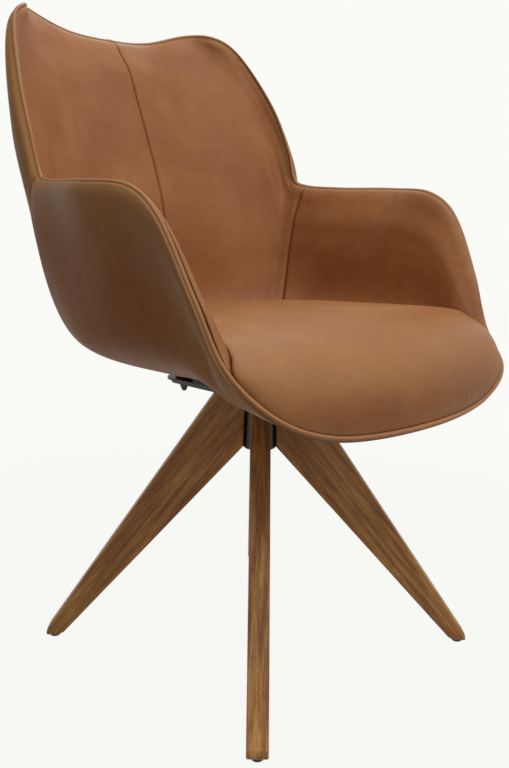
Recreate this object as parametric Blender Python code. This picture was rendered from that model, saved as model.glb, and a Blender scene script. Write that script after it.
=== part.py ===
"""Swivel armchair: a leather bucket seat that turns on four flat oak legs.

Metres, +Z up, front of the chair towards -Y, origin on the floor under the middle of the chair.
"""

from collections import namedtuple
from math import atan2, cos, pi, sin, sqrt

import bmesh
import bpy
from mathutils import Matrix, Vector

# Clearances, and how far a cutter reaches past what it cuts
GAP = 0.0003
SOFT_GAP = 0.0008
PAD_GAP = 0.0006
COVER_GAP = 0.0006
SEAM_GAP = 0.0004
CUT_REACH = 0.01

# Legs
FOOT_RADIUS = 0.306
LEG_THICKNESS = 0.0264
LEG_TOP_DROP = 0.0055
LEG_SHOULDER_RADIUS = 0.061
LEG_CROTCH_RISE = 0.004
LEG_FOOT_LENGTH = 0.0215
LEG_FOOT_BEVEL = 0.0105
LEG_TOE_BEVEL = 0.004
LEG_EDGE_EASE = 0.0022
LEG_FLUTE_DEPTH = 0.0012
GLIDE_HEIGHT = 0.005
GLIDE_RADIUS = 0.0075
GLIDE_PIN_RADIUS = 0.002
GLIDE_PIN_LENGTH = 0.016
GLIDE_ROUNDING = 0.0012

# Hub
HUB_TOP_HEIGHT = 0.3775
HUB_LENGTH = 0.0875
HUB_TOP_RADIUS = 0.0210
HUB_BOTTOM_RADIUS = 0.0235
HUB_BORE_RADIUS = 0.0170
HUB_EDGE_ROUND = 0.003
HUB_SEGMENTS = 40
HUB_CAP_THICKNESS = 0.003
HUB_CAP_SKIRT = 0.0025
HUB_CAP_WALL = 0.002
BUSH_LENGTH = 0.010
BUSH_FLANGE_RADIUS = 0.0195
BUSH_FLANGE_THICKNESS = 0.002
LOWER_BUSH_RISE = 0.0105
SPINDLE_RADIUS = 0.008
SPINDLE_HEAD_RADIUS = 0.014
SPINDLE_HEAD_THICKNESS = 0.003
SPINDLE_TAIL_CLEARANCE = 0.0015
SPINDLE_CHAMFER = 0.001
GROOVE_DEPTH = 0.0012
CLIP_THICKNESS = 0.0014
CLIP_RADIUS = 0.0125
CLIP_OPENING = 1.1

# Leg bolts and inserts
BOLT_RADIUS = 0.003
BOLT_LENGTH = 0.026
BOLT_HEAD_RADIUS = 0.0052
BOLT_HEAD_HEIGHT = 0.0033
BOLT_SOCKET_RADIUS = 0.0020
BOLT_SOCKET_DEPTH = 0.0018
BOLT_SHARES_OF_HUB = (0.366, 0.686)
INSERT_RADIUS = 0.005
INSERT_LENGTH = 0.015

# Plates under the seat
WASHER_THICKNESS = 0.002
BRACE_THICKNESS = 0.0042
BRACE_LOBE_RADIUS = 0.0175
PLATE_THICKNESS = 0.003
PLATE_LOBE_RADIUS = 0.023
STUD_SPREAD = 0.075
STUD_RADIUS = 0.003
STUD_HEAD_RADIUS = 0.009
STUD_HEAD_THICKNESS = 0.0025
SPACER_HEIGHT = 0.013
SPACER_RADIUS = 0.012
NUT_HEX_RADIUS = 0.0056
NUT_HEX_HEIGHT = 0.0065
NUT_DOME_RADIUS = 0.0046
NUT_HEIGHT = 0.0130
NUT_CROWN_THICKNESS = 0.0034
STUD_END_PLAY = 0.0006

# Shell and upholstery
PAN_HALF_WIDTH = 0.118
PAN_HALF_DEPTH = 0.108
COVER_THICKNESS = 0.0025
SHELL_THICKNESS = 0.008
SHELL_RIM_THICKNESS = 0.006
SHELL_RIM_SETBACK = 0.0050
PAD_THICKNESS = 0.018
BACK_PAD_THICKNESS = 0.025
BACK_BELLY = 0.0135
BACK_BELLY_AT_MIDDLE = 0.25
BACK_BELLY_RISE = 1.6
BACK_BELLY_FALL = 8
PAD_RIM_THICKNESS = 0.0045
RIM_EASE_LENGTH = 0.05
PAD_SEAM_DIP = 0.004
RIM_HALF_WIDTH = 0.0062
RIM_DROP = 0.002
CORD_RADIUS = 0.0024
CROWN_RISE = 0.0835
CROWN_BACK_SHIFT = -0.03
SEAT_SLOPE = 0.07
CUSHION_TUCK_RISE = 0.0675
CUSHION_ROLL = 0.12
CUSHION_SHOULDER = 0.85
CUSHION_SPREAD = 0.72
CUSHION_RIM_SETBACK = 0.0012
CUSHION_CORNER_RELIEF = 0.004
CUSHION_TOP_SHARES = (0.12, 0.28, 0.48, 0.74)

# The bucket's outer skin: one rib for each named place round its right half, from back to front.
# Each rib runs up from the flat pan through hip and waist to the rim, where the piping lies.
# Its heights are counted from the pan's underside.
Rib = namedtuple("Rib", "rim waist hip steps")
RIBS = {
    "back centre": Rib((0.000, 0.331, 0.4595), (0.000, 0.246, 0.2165), (0.000, 0.212, 0.0465), 2),
    "back quarter": Rib((0.073, 0.338, 0.4655), (0.070, 0.247, 0.2165), (0.064, 0.210, 0.0465), 2),
    "below the tip": Rib((0.153, 0.327, 0.4875), (0.130, 0.242, 0.2165), (0.114, 0.203, 0.0465), 1),
    "wing tip": Rib((0.173, 0.2945, 0.4865), (0.162, 0.233, 0.2165), (0.135, 0.197, 0.0455), 1),
    "wing shoulder": Rib((0.202, 0.2715, 0.4625), (0.193, 0.222, 0.2065), (0.154, 0.190, 0.0445), 2),
    "wing front": Rib((0.236, 0.213, 0.3795), (0.219, 0.206, 0.1965), (0.171, 0.180, 0.0425), 1),
    "wing foot": Rib((0.243, 0.178, 0.3035), (0.231, 0.191, 0.1865), (0.184, 0.170, 0.0405), 1),
    "inner corner": Rib((0.243, 0.161, 0.2555), (0.237, 0.176, 0.1765), (0.193, 0.161, 0.0405), 1),
    "back seam": Rib((0.247, 0.146, 0.249), (0.242, 0.160, 0.1685), (0.201, 0.151, 0.0405), 2),
    "arm rear": Rib((0.263, 0.085, 0.2455), (0.255, 0.089, 0.1565), (0.233, 0.089, 0.0455), 2),
    "arm middle": Rib((0.287, 0.001, 0.2455), (0.271, -0.002, 0.1565), (0.247, 0.000, 0.0545), 2),
    "arm front": Rib((0.2805, -0.074, 0.240), (0.270, -0.076, 0.1515), (0.251, -0.076, 0.0565), 2),
    "arm corner": Rib((0.2805, -0.1165, 0.2165), (0.269, -0.116, 0.1365), (0.249, -0.118, 0.0525), 2),
    "arm slope": Rib((0.267, -0.164, 0.1245), (0.260, -0.164, 0.0815), (0.240, -0.158, 0.0325), 2),
    "arm foot": Rib((0.253, -0.197, 0.0535), (0.242, -0.188, 0.0285), (0.217, -0.172, 0.0095), 2),
    "seat corner": Rib((0.226, -0.239, 0.0075), (0.206, -0.214, -0.0025), (0.172, -0.180, -0.0055), 3),
    "seat front": Rib((0.157, -0.259, -0.020), (0.132, -0.228, -0.0195), (0.104, -0.182, -0.0105), 3),
    "front centre": Rib((0.000, -0.278, -0.0285), (0.000, -0.238, -0.0255), (0.000, -0.184, -0.0135), 0),
}
RIB_ORDER = tuple(RIBS)
PAD_LAST_RIB = "arm foot"
SEAM_RIB = "back seam"
PAN_TO_HIP_SHARES = (0.0, 0.34, 0.67)
HIP_TO_WAIST_SHARES = (0.0, 0.5)
WAIST_TO_RIM_SHARES = (0.0, 0.36, 0.67, 0.88)
PAD_FIRST_ROW = 1
ROW_SQUEEZE = 0.03
BACK_LAST_RIB = "wing foot"
BELLY_FULL_RIB = "wing tip"
BACK_FADE_START = 2
BACK_FADE_COLUMNS = 4
PAD_FADE_START = 2
PAD_FADE_COLUMNS = 3
SEAM_DIP_COLUMNS = 2
CORNER_RELIEF_COLUMNS = 3
BEYOND_RIM = 0.5
PAN_CENTRE = 0.5

# The chair's middle lies a little behind the swivel axis.
AXIS_Y = -0.0313

LEG_DIRECTIONS = {
    "front_left": Vector((-1, -1, 0)).normalized(),
    "front_right": Vector((1, -1, 0)).normalized(),
    "rear_left": Vector((-1, 1, 0)).normalized(),
    "rear_right": Vector((1, 1, 0)).normalized(),
}
CORNERS = {
    "front_left": (-1, -1),
    "front_right": (1, -1),
    "rear_left": (-1, 1),
    "rear_right": (1, 1),
}

# Heights that follow from the sizes above
HUB_BOTTOM_HEIGHT = HUB_TOP_HEIGHT - HUB_LENGTH
LEG_TOP_HEIGHT = HUB_TOP_HEIGHT - LEG_TOP_DROP
LEG_CROTCH_HEIGHT = HUB_BOTTOM_HEIGHT + LEG_CROTCH_RISE
LOWER_BUSH_HEIGHT = HUB_BOTTOM_HEIGHT + LOWER_BUSH_RISE
BOLT_HEIGHTS = tuple(HUB_BOTTOM_HEIGHT + share * HUB_LENGTH for share in BOLT_SHARES_OF_HUB)
BUSH_TOP = HUB_TOP_HEIGHT + GAP + BUSH_FLANGE_THICKNESS
BRACE_BOTTOM = BUSH_TOP + WASHER_THICKNESS + 2 * GAP
PLATE_BOTTOM = BRACE_BOTTOM + BRACE_THICKNESS + GAP
PLATE_TOP = PLATE_BOTTOM + PLATE_THICKNESS
PAN_HEIGHT = PLATE_TOP + SPACER_HEIGHT + 2 * GAP
CROWN_HEIGHT = PAN_HEIGHT + CROWN_RISE
CUSHION_TUCK_HEIGHT = PAN_HEIGHT + CUSHION_TUCK_RISE


# Scene and materials

def clear_scene():
    for item in list(bpy.data.objects):
        bpy.data.objects.remove(item, do_unlink=True)


def material(name, colour, roughness, metallic=0.0):
    made = bpy.data.materials.new(name)
    made.use_nodes = True
    shader = made.node_tree.nodes["Principled BSDF"]
    shader.inputs["Base Color"].default_value = (*colour, 1.0)
    shader.inputs["Roughness"].default_value = roughness
    shader.inputs["Metallic"].default_value = metallic
    made.diffuse_color = (*colour, 1.0)
    return made


LOOKS = {
    "oak": material("oak", (0.36, 0.20, 0.08), 0.55),
    "black steel": material("black powder-coated steel", (0.012, 0.012, 0.013), 0.45, 0.4),
    "steel": material("zinc-plated steel", (0.55, 0.55, 0.53), 0.35, 1.0),
    "brass": material("brass", (0.60, 0.42, 0.16), 0.35, 1.0),
    "nylon": material("nylon", (0.75, 0.73, 0.68), 0.5),
    "black plastic": material("black plastic", (0.014, 0.013, 0.012), 0.5),
    "rubber": material("rubber", (0.016, 0.016, 0.016), 0.8),
    "shell": material("moulded shell", (0.05, 0.05, 0.05), 0.6),
    "leather": material("brown leather", (0.29, 0.14, 0.075), 0.5),
    "piping": material("piping leather", (0.35, 0.19, 0.11), 0.5),
}


def add_object(name, bm, look, smooth=True):
    """Turn a closed bmesh into a named object with its faces pointing out."""
    bmesh.ops.recalc_face_normals(bm, faces=bm.faces)
    if bm.calc_volume(signed=True) < 0:
        bmesh.ops.reverse_faces(bm, faces=bm.faces)
    mesh = bpy.data.meshes.new(name)
    bm.to_mesh(mesh)
    bm.free()
    mesh.materials.append(look)
    if smooth:
        mesh.shade_smooth()
        mesh.set_sharp_from_angle(angle=0.6)
    made = bpy.data.objects.new(name, mesh)
    bpy.context.collection.objects.link(made)
    made.location = (0.0, AXIS_Y, 0.0)
    return made


def add_cutter(name, bm):
    made = add_object(name, bm, LOOKS["steel"], smooth=False)
    made.hide_render = True
    made.display_type = "WIRE"
    return made


def cut(target, cutter):
    modifier = target.modifiers.new(cutter.name, "BOOLEAN")
    modifier.operation = "DIFFERENCE"
    modifier.object = cutter


# Solids

def turned(profile, segments=28):
    """Closed solid of revolution about Z from a list of (radius, height); radius 0 closes an end."""
    bm = bmesh.new()
    rings = []
    for radius, height in profile:
        if radius == 0:
            rings.append([bm.verts.new((0, 0, height))])
            continue
        turn = [2 * pi * (step + 0.5) / segments for step in range(segments)]
        rings.append([bm.verts.new((radius * cos(a), radius * sin(a), height)) for a in turn])
    closed = rings[0] if len(rings[0]) > 1 else None
    pairs = list(zip(rings, rings[1:]))
    if closed:
        pairs.append((rings[-1], rings[0]))
    for lower, upper in pairs:
        bridge(bm, lower, upper)
    return bm


def bridge(bm, lower, upper):
    """Faces between two rings of vertices; a ring of one vertex makes a fan."""
    count = max(len(lower), len(upper))
    for step in range(count):
        following = (step + 1) % count
        if len(lower) == 1:
            bm.faces.new((lower[0], upper[step], upper[following]))
        elif len(upper) == 1:
            bm.faces.new((lower[step], upper[0], lower[following]))
        else:
            bm.faces.new((lower[step], lower[following], upper[following], upper[step]))


def panel(bm, near_low, near_high, far_low, far_high, mirrored):
    """Two triangles between two neighbouring columns, split alike in every layer of the bucket."""
    if mirrored:
        bm.faces.new((near_low, far_low, near_high))
        bm.faces.new((far_low, far_high, near_high))
    else:
        bm.faces.new((near_low, far_low, far_high))
        bm.faces.new((near_low, far_high, near_high))


def bridge_skin(bm, lower, upper):
    """Like bridge, but with panels that are mirror images on the two sides of the chair."""
    if len(lower) == 1 or len(upper) == 1:
        bridge(bm, lower, upper)
        return
    count = len(lower)
    for step in range(count):
        following = (step + 1) % count
        panel(bm, lower[step], upper[step], lower[following], upper[following], step >= count // 2)


def tube(inner, outer, bottom, top, segments=28):
    return turned(((inner, bottom), (outer, bottom), (outer, top), (inner, top)), segments)


def rod(radius, bottom, top, segments=12):
    return turned(((0, bottom), (radius, bottom), (radius, top), (0, top)), segments)


def extruded(outline, bottom, top):
    """Closed prism from an outline of (x, y) points, in height from bottom to top."""
    bm = bmesh.new()
    low = [bm.verts.new((x, y, bottom)) for x, y in outline]
    high = [bm.verts.new((x, y, top)) for x, y in outline]
    bm.faces.new(low[::-1])
    bm.faces.new(high)
    bridge(bm, low, high)
    return bm


def along(direction, bm, height):
    """Lay a solid that was built along +Z outwards from the axis, at the given height."""
    turn = Vector((0, 0, 1)).rotation_difference(direction).to_matrix().to_4x4()
    bmesh.ops.transform(bm, matrix=Matrix.Translation((0, 0, height)) @ turn, verts=bm.verts)
    return bm


# Legs, glides and hub

def hub_radius(height):
    share = (height - HUB_BOTTOM_HEIGHT) / (HUB_TOP_HEIGHT - HUB_BOTTOM_HEIGHT)
    return HUB_BOTTOM_RADIUS + share * (HUB_TOP_RADIUS - HUB_BOTTOM_RADIUS)


def leg_outline():
    """Side view of a leg as (distance from the axis, height) points."""
    foot_bottom = GLIDE_HEIGHT + GAP
    inner_foot = FOOT_RADIUS - LEG_FOOT_LENGTH
    inner_top = hub_radius(LEG_TOP_HEIGHT) + GAP - LEG_FLUTE_DEPTH
    inner_low = hub_radius(LEG_CROTCH_HEIGHT) + GAP - LEG_FLUTE_DEPTH
    return (
        (inner_top, LEG_TOP_HEIGHT),
        (LEG_SHOULDER_RADIUS, LEG_TOP_HEIGHT),
        (FOOT_RADIUS - LEG_TOE_BEVEL * 0.6, foot_bottom + LEG_FOOT_BEVEL),
        (FOOT_RADIUS, foot_bottom + LEG_TOE_BEVEL * 0.3),
        (FOOT_RADIUS - LEG_TOE_BEVEL * 0.5, foot_bottom),
        (inner_foot + LEG_TOE_BEVEL, foot_bottom),
        (inner_foot - LEG_TOE_BEVEL, foot_bottom + LEG_TOE_BEVEL),
        (inner_low, LEG_CROTCH_HEIGHT),
    )


def glide_distance():
    return FOOT_RADIUS - LEG_FOOT_LENGTH / 2


def hub_room():
    """Space that the legs' ends leave for the tapered hub."""
    low = HUB_BOTTOM_HEIGHT - CUT_REACH
    high = HUB_TOP_HEIGHT + CUT_REACH
    profile = (
        (0, low),
        (hub_radius(low) + GAP, low),
        (hub_radius(high) + GAP, high),
        (0, high),
    )
    return add_cutter("hub_room", turned(profile, HUB_SEGMENTS))


def make_leg(name, direction, hub_space):
    bm = bmesh.new()
    side = Vector((0, 0, 1)).cross(direction) * (LEG_THICKNESS / 2)
    faces = []
    for offset in (-side, side):
        points = [direction * r + Vector((0, 0, h)) + offset for r, h in leg_outline()]
        faces.append([bm.verts.new(p) for p in points])
    bm.faces.new(faces[0][::-1])
    bm.faces.new(faces[1])
    bridge(bm, faces[0], faces[1])
    bmesh.ops.recalc_face_normals(bm, faces=bm.faces)
    leg = add_object("leg_" + name, bm, LOOKS["oak"])
    ease = leg.modifiers.new("eased edges", "BEVEL")
    ease.width = LEG_EDGE_EASE
    ease.segments = 2
    ease.limit_method = "ANGLE"
    ease.angle_limit = 1.2
    cut(leg, hub_space)
    for height in BOLT_HEIGHTS:
        depth = hub_radius(height) + GAP + BOLT_LENGTH + 2 * GAP
        bore = along(direction, rod(INSERT_RADIUS + GAP, HUB_BORE_RADIUS - CUT_REACH, depth), height)
        cut(leg, add_cutter("insert_bore_%s_%d" % (name, round(height * 1000)), bore))
    centre = direction * glide_distance()
    pin = rod(GLIDE_PIN_RADIUS + GAP, -CUT_REACH, GLIDE_HEIGHT + GLIDE_PIN_LENGTH + 2 * GAP)
    bmesh.ops.translate(pin, vec=centre, verts=pin.verts)
    cut(leg, add_cutter("pin_bore_" + name, pin))
    return leg


def make_glide(name, direction):
    profile = (
        (0, 0),
        (GLIDE_RADIUS - GLIDE_ROUNDING, 0),
        (GLIDE_RADIUS, GLIDE_ROUNDING),
        (GLIDE_RADIUS, GLIDE_HEIGHT),
        (GLIDE_PIN_RADIUS, GLIDE_HEIGHT),
        (GLIDE_PIN_RADIUS, GLIDE_HEIGHT + GLIDE_PIN_LENGTH - GLIDE_PIN_RADIUS),
        (0, GLIDE_HEIGHT + GLIDE_PIN_LENGTH),
    )
    bm = turned(profile, 20)
    bmesh.ops.translate(bm, vec=direction * glide_distance(), verts=bm.verts)
    add_object("glide_" + name, bm, LOOKS["black plastic"])


def make_hub():
    rounds = [pi / 2 * step / 3 for step in range(4)]
    corner = HUB_BOTTOM_RADIUS - HUB_EDGE_ROUND
    outer = [
        (corner + HUB_EDGE_ROUND * sin(a), HUB_BOTTOM_HEIGHT + HUB_EDGE_ROUND * (1 - cos(a)))
        for a in rounds
    ]
    bm = turned(
        [(HUB_BORE_RADIUS, HUB_BOTTOM_HEIGHT)]
        + outer
        + [(HUB_TOP_RADIUS, HUB_TOP_HEIGHT), (HUB_BORE_RADIUS, HUB_TOP_HEIGHT)],
        HUB_SEGMENTS,
    )
    hub = add_object("hub", bm, LOOKS["black steel"])
    for name, direction in LEG_DIRECTIONS.items():
        for height in BOLT_HEIGHTS:
            hole = along(direction, rod(BOLT_RADIUS + GAP, HUB_BORE_RADIUS - CUT_REACH / 2, HUB_BOTTOM_RADIUS + CUT_REACH), height)
            cut(hub, add_cutter("hub_hole_%s_%d" % (name, round(height * 1000)), hole))


def make_bolts():
    seat = sqrt((HUB_BORE_RADIUS - GAP) ** 2 - BOLT_HEAD_RADIUS ** 2) - GAP
    head = seat - BOLT_HEAD_HEIGHT
    for name, direction in LEG_DIRECTIONS.items():
        for level, height in zip(("lower", "upper"), BOLT_HEIGHTS):
            wall = hub_radius(height) + GAP
            tip = wall + BOLT_LENGTH
            profile = (
                (0, head + BOLT_SOCKET_DEPTH),
                (BOLT_SOCKET_RADIUS, head + BOLT_SOCKET_DEPTH),
                (BOLT_SOCKET_RADIUS, head),
                (BOLT_HEAD_RADIUS * 0.6, head),
                (BOLT_HEAD_RADIUS, head + BOLT_HEAD_HEIGHT * 0.6),
                (BOLT_HEAD_RADIUS, seat),
                (BOLT_RADIUS, seat),
                (BOLT_RADIUS, tip - BOLT_RADIUS / 2),
                (BOLT_RADIUS / 2, tip),
                (0, tip),
            )
            bolt = along(direction, turned(profile, 10), height)
            add_object("leg_bolt_%s_%s" % (level, name), bolt, LOOKS["steel"])
            start = wall + LEG_FLUTE_DEPTH
            insert = tube(BOLT_RADIUS + GAP, INSERT_RADIUS, start, start + INSERT_LENGTH, 10)
            along(direction, insert, height)
            add_object("insert_%s_%s" % (level, name), insert, LOOKS["brass"])


def make_bushes():
    inner = SPINDLE_RADIUS + GAP
    outer = HUB_BORE_RADIUS - GAP
    top = HUB_TOP_HEIGHT + GAP
    upper = (
        (inner, HUB_TOP_HEIGHT - BUSH_LENGTH),
        (outer, HUB_TOP_HEIGHT - BUSH_LENGTH),
        (outer, top),
        (BUSH_FLANGE_RADIUS, top),
        (BUSH_FLANGE_RADIUS, BUSH_TOP),
        (inner, BUSH_TOP),
    )
    add_object("upper_bush", turned(upper), LOOKS["nylon"])
    lower = tube(inner, outer, LOWER_BUSH_HEIGHT, LOWER_BUSH_HEIGHT + BUSH_LENGTH)
    add_object("lower_bush", lower, LOOKS["nylon"])
    washer_bottom = BUSH_TOP + GAP
    washer = tube(inner, BUSH_FLANGE_RADIUS, washer_bottom, washer_bottom + WASHER_THICKNESS)
    add_object("thrust_washer", washer, LOOKS["steel"])


def make_hub_cap():
    outer = HUB_BORE_RADIUS - GAP
    skirt = outer - HUB_CAP_WALL
    profile = (
        (0, HUB_BOTTOM_HEIGHT),
        (outer, HUB_BOTTOM_HEIGHT),
        (outer, HUB_BOTTOM_HEIGHT + HUB_CAP_THICKNESS + HUB_CAP_SKIRT),
        (skirt, HUB_BOTTOM_HEIGHT + HUB_CAP_THICKNESS + HUB_CAP_SKIRT),
        (skirt, HUB_BOTTOM_HEIGHT + HUB_CAP_THICKNESS),
        (0, HUB_BOTTOM_HEIGHT + HUB_CAP_THICKNESS),
    )
    add_object("hub_cap", turned(profile), LOOKS["black plastic"])


# Swivel and plates

def make_spindle():
    clip_top = LOWER_BUSH_HEIGHT - GAP
    clip_bottom = clip_top - CLIP_THICKNESS
    neck = SPINDLE_RADIUS - GROOVE_DEPTH
    tail = HUB_BOTTOM_HEIGHT + HUB_CAP_THICKNESS + SPINDLE_TAIL_CLEARANCE
    head = PLATE_TOP + GAP
    profile = (
        (0, tail),
        (SPINDLE_RADIUS - SPINDLE_CHAMFER, tail),
        (SPINDLE_RADIUS, tail + SPINDLE_CHAMFER),
        (SPINDLE_RADIUS, clip_bottom - GAP),
        (neck, clip_bottom - GAP),
        (neck, clip_top + GAP),
        (SPINDLE_RADIUS, clip_top + GAP),
        (SPINDLE_RADIUS, head),
        (SPINDLE_HEAD_RADIUS, head),
        (SPINDLE_HEAD_RADIUS, head + SPINDLE_HEAD_THICKNESS - SPINDLE_CHAMFER),
        (SPINDLE_HEAD_RADIUS - SPINDLE_CHAMFER, head + SPINDLE_HEAD_THICKNESS),
        (0, head + SPINDLE_HEAD_THICKNESS),
    )
    add_object("spindle", turned(profile), LOOKS["steel"])
    arc = [CLIP_OPENING / 2 + (2 * pi - CLIP_OPENING) * step / 20 for step in range(21)]
    outline = [(CLIP_RADIUS * cos(a), CLIP_RADIUS * sin(a)) for a in arc]
    inner = neck + GAP
    outline += [(inner * cos(a), inner * sin(a)) for a in reversed(arc)]
    add_object("retaining_clip", extruded(outline, clip_bottom, clip_top), LOOKS["steel"])


def square_with_lobes(spread, radius, steps=8):
    """Plate outline: a square with a round lobe centred on each stud."""
    points = []
    for turn in range(4):
        centre = (spread * (1, -1, -1, 1)[turn], spread * (1, 1, -1, -1)[turn])
        start = turn * pi / 2
        for step in range(steps + 1):
            angle = start + pi / 2 * step / steps
            points.append((centre[0] + radius * cos(angle), centre[1] + radius * sin(angle)))
    return points


def stud_places():
    return {name: Vector((x * STUD_SPREAD, y * STUD_SPREAD, 0)) for name, (x, y) in CORNERS.items()}


def bore_for_studs(target, radius, bottom, top, label):
    for name, place in stud_places().items():
        bore = rod(radius, bottom, top)
        bmesh.ops.translate(bore, vec=place, verts=bore.verts)
        cut(target, add_cutter("%s_%s" % (label, name), bore))


def make_plates():
    outline = square_with_lobes(STUD_SPREAD, PLATE_LOBE_RADIUS)
    plate = add_object("seat_plate", extruded(outline, PLATE_BOTTOM, PLATE_TOP), LOOKS["black steel"])
    outline = square_with_lobes(STUD_SPREAD, BRACE_LOBE_RADIUS)
    brace_top = BRACE_BOTTOM + BRACE_THICKNESS
    brace = add_object("brace_plate", extruded(outline, BRACE_BOTTOM, brace_top), LOOKS["black steel"])
    for target in (plate, brace):
        hole = rod(SPINDLE_RADIUS + GAP, BRACE_BOTTOM - CUT_REACH, PLATE_TOP + CUT_REACH, 32)
        cut(target, add_cutter("spindle_hole_" + target.name, hole))
        bore_for_studs(target, STUD_RADIUS + GAP, BRACE_BOTTOM - CUT_REACH, PLATE_TOP + CUT_REACH,
                       "stud_hole_" + target.name)


def shell_floor():
    """Underside of the cover and top of the shell, in the flat pan."""
    return PAN_HEIGHT, PAN_HEIGHT + COVER_THICKNESS + COVER_GAP + SHELL_THICKNESS


def make_studs_and_nuts():
    underside, floor = shell_floor()
    nut_top = BRACE_BOTTOM - GAP
    nut_bottom = nut_top - NUT_HEIGHT
    nut_floor = nut_bottom + NUT_CROWN_THICKNESS
    tip = nut_floor + STUD_END_PLAY
    for name, place in stud_places().items():
        head = floor - GAP
        profile = (
            (0, tip),
            (STUD_RADIUS, tip),
            (STUD_RADIUS, head - STUD_HEAD_THICKNESS),
            (STUD_HEAD_RADIUS, head - STUD_HEAD_THICKNESS),
            (STUD_HEAD_RADIUS, head),
            (0, head),
        )
        stud = turned(profile, 12)
        dome = [pi / 2 * step / 4 for step in range(5)]
        hex_bottom = nut_top - NUT_HEX_HEIGHT
        dome_height = hex_bottom - nut_bottom
        nut = turned(
            [(0, nut_floor), (STUD_RADIUS + GAP, nut_floor)]
            + [(STUD_RADIUS + GAP, nut_top), (NUT_HEX_RADIUS, nut_top), (NUT_HEX_RADIUS, hex_bottom)]
            + [(NUT_DOME_RADIUS * cos(a), hex_bottom - dome_height * sin(a)) for a in dome[:-1]]
            + [(0, nut_bottom)],
            12,
        )
        spacer = tube(STUD_RADIUS + GAP, SPACER_RADIUS, PLATE_TOP + GAP, underside - GAP, 24)
        for bm in (stud, nut, spacer):
            bmesh.ops.translate(bm, vec=place, verts=bm.verts)
        add_object("stud_" + name, stud, LOOKS["steel"])
        add_object("domed_nut_" + name, nut, LOOKS["black steel"])
        add_object("spacer_" + name, spacer, LOOKS["rubber"])


# Bucket surface

def smooth_between(before, start, end, after, share):
    """Point on the smooth curve that runs from start to end, with its neighbours' direction."""
    def knot(a, b):
        return max((b - a).length, 1e-6) ** 0.5
    t0 = 0.0
    t1 = t0 + knot(before, start)
    t2 = t1 + knot(start, end)
    t3 = t2 + knot(end, after)
    t = t1 + (t2 - t1) * share
    a1 = before * ((t1 - t) / (t1 - t0)) + start * ((t - t0) / (t1 - t0))
    a2 = start * ((t2 - t) / (t2 - t1)) + end * ((t - t1) / (t2 - t1))
    a3 = end * ((t3 - t) / (t3 - t2)) + after * ((t - t2) / (t3 - t2))
    b1 = a1 * ((t2 - t) / (t2 - t0)) + a2 * ((t - t0) / (t2 - t0))
    b2 = a2 * ((t3 - t) / (t3 - t1)) + a3 * ((t - t1) / (t3 - t1))
    return b1 * ((t2 - t) / (t2 - t1)) + b2 * ((t - t1) / (t2 - t1))


def whole_ring(half):
    """Right half of a ring of points, joined to its mirror image on the left."""
    left = [Vector((-p.x, p.y, p.z)) for p in reversed(half[1:-1])]
    return list(half) + left


def ring_of(field):
    """Closed smooth ring through one field of every rib."""
    half = [Vector(getattr(RIBS[name], field)) + Vector((0, 0, PAN_HEIGHT)) for name in RIB_ORDER]
    ring = whole_ring(half)
    count = len(ring)
    steps = [RIBS[name].steps for name in RIB_ORDER[:-1]]
    steps = steps + steps[::-1]
    points = []
    for index in range(count):
        before, start, end, after = (ring[(index + k) % count] for k in (-1, 0, 1, 2))
        for step in range(steps[index]):
            points.append(smooth_between(before, start, end, after, step / steps[index]))
    return points


def rib_column(name):
    """Index of the grid column that a named rib lies on."""
    return sum(RIBS[rib].steps for rib in RIB_ORDER[:RIB_ORDER.index(name)])


def pan_ring(columns, hips):
    """Edge of the flat pan: an ellipse, each point on the bearing of its own rib."""
    points = []
    for hip in hips:
        angle = atan2(hip.x / PAN_HALF_WIDTH, hip.y / PAN_HALF_DEPTH)
        points.append(Vector((PAN_HALF_WIDTH * sin(angle), PAN_HALF_DEPTH * cos(angle), PAN_HEIGHT)))
    return points


def back_share(column, count):
    """1 behind the sitter's back, 0 along the arms."""
    steps = min(column, count - column)
    return 1.0 - ease_in((steps - rib_column(BACK_LAST_RIB) + BACK_FADE_START) / BACK_FADE_COLUMNS)


def belly_of(column, count):
    """Greatest swell of the upper back on one column: small at the middle, full at the wings."""
    steps = min(column, count - column)
    to_wing = ease_in(steps / rib_column(BELLY_FULL_RIB))
    share = BACK_BELLY_AT_MIDDLE + (1 - BACK_BELLY_AT_MIDDLE) * to_wing
    return BACK_BELLY * share * back_share(column, count)


def belly_share(share):
    """How far the upper back swells out between waist and rim, fullest just below the rim."""
    return ease_in(share * BACK_BELLY_RISE) * (1 - share ** BACK_BELLY_FALL)


def bucket_grid():
    """Outer skin as columns of points, from the pan's edge to the rim, and the piping's line."""
    cord = ring_of("rim")
    waists = ring_of("waist")
    hips = ring_of("hip")
    pans = pan_ring(len(cord), hips)
    count = len(cord)
    columns = []
    for index in range(count):
        tangent = (cord[(index + 1) % count] - cord[index - 1]).normalized()
        rise = (cord[index] - waists[index]).normalized()
        outward = rise.cross(tangent).normalized()
        rim = cord[index] + outward * RIM_HALF_WIDTH - rise * RIM_DROP
        inside = pans[index] * PAN_CENTRE
        inside.z = PAN_HEIGHT
        knots = [inside, pans[index], hips[index], waists[index], rim]
        knots.append(rim + (rim - waists[index]) * BEYOND_RIM)
        column = []
        belly = outward * belly_of(index, count)
        spans = (PAN_TO_HIP_SHARES, HIP_TO_WAIST_SHARES, WAIST_TO_RIM_SHARES)
        for span, shares in enumerate(spans):
            for share in shares:
                point = smooth_between(*knots[span:span + 4], share)
                if shares is WAIST_TO_RIM_SHARES:
                    point += belly * belly_share(share)
                column.append(point)
        column.append(rim)
        columns.append(column)
    return columns, cord


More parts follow.
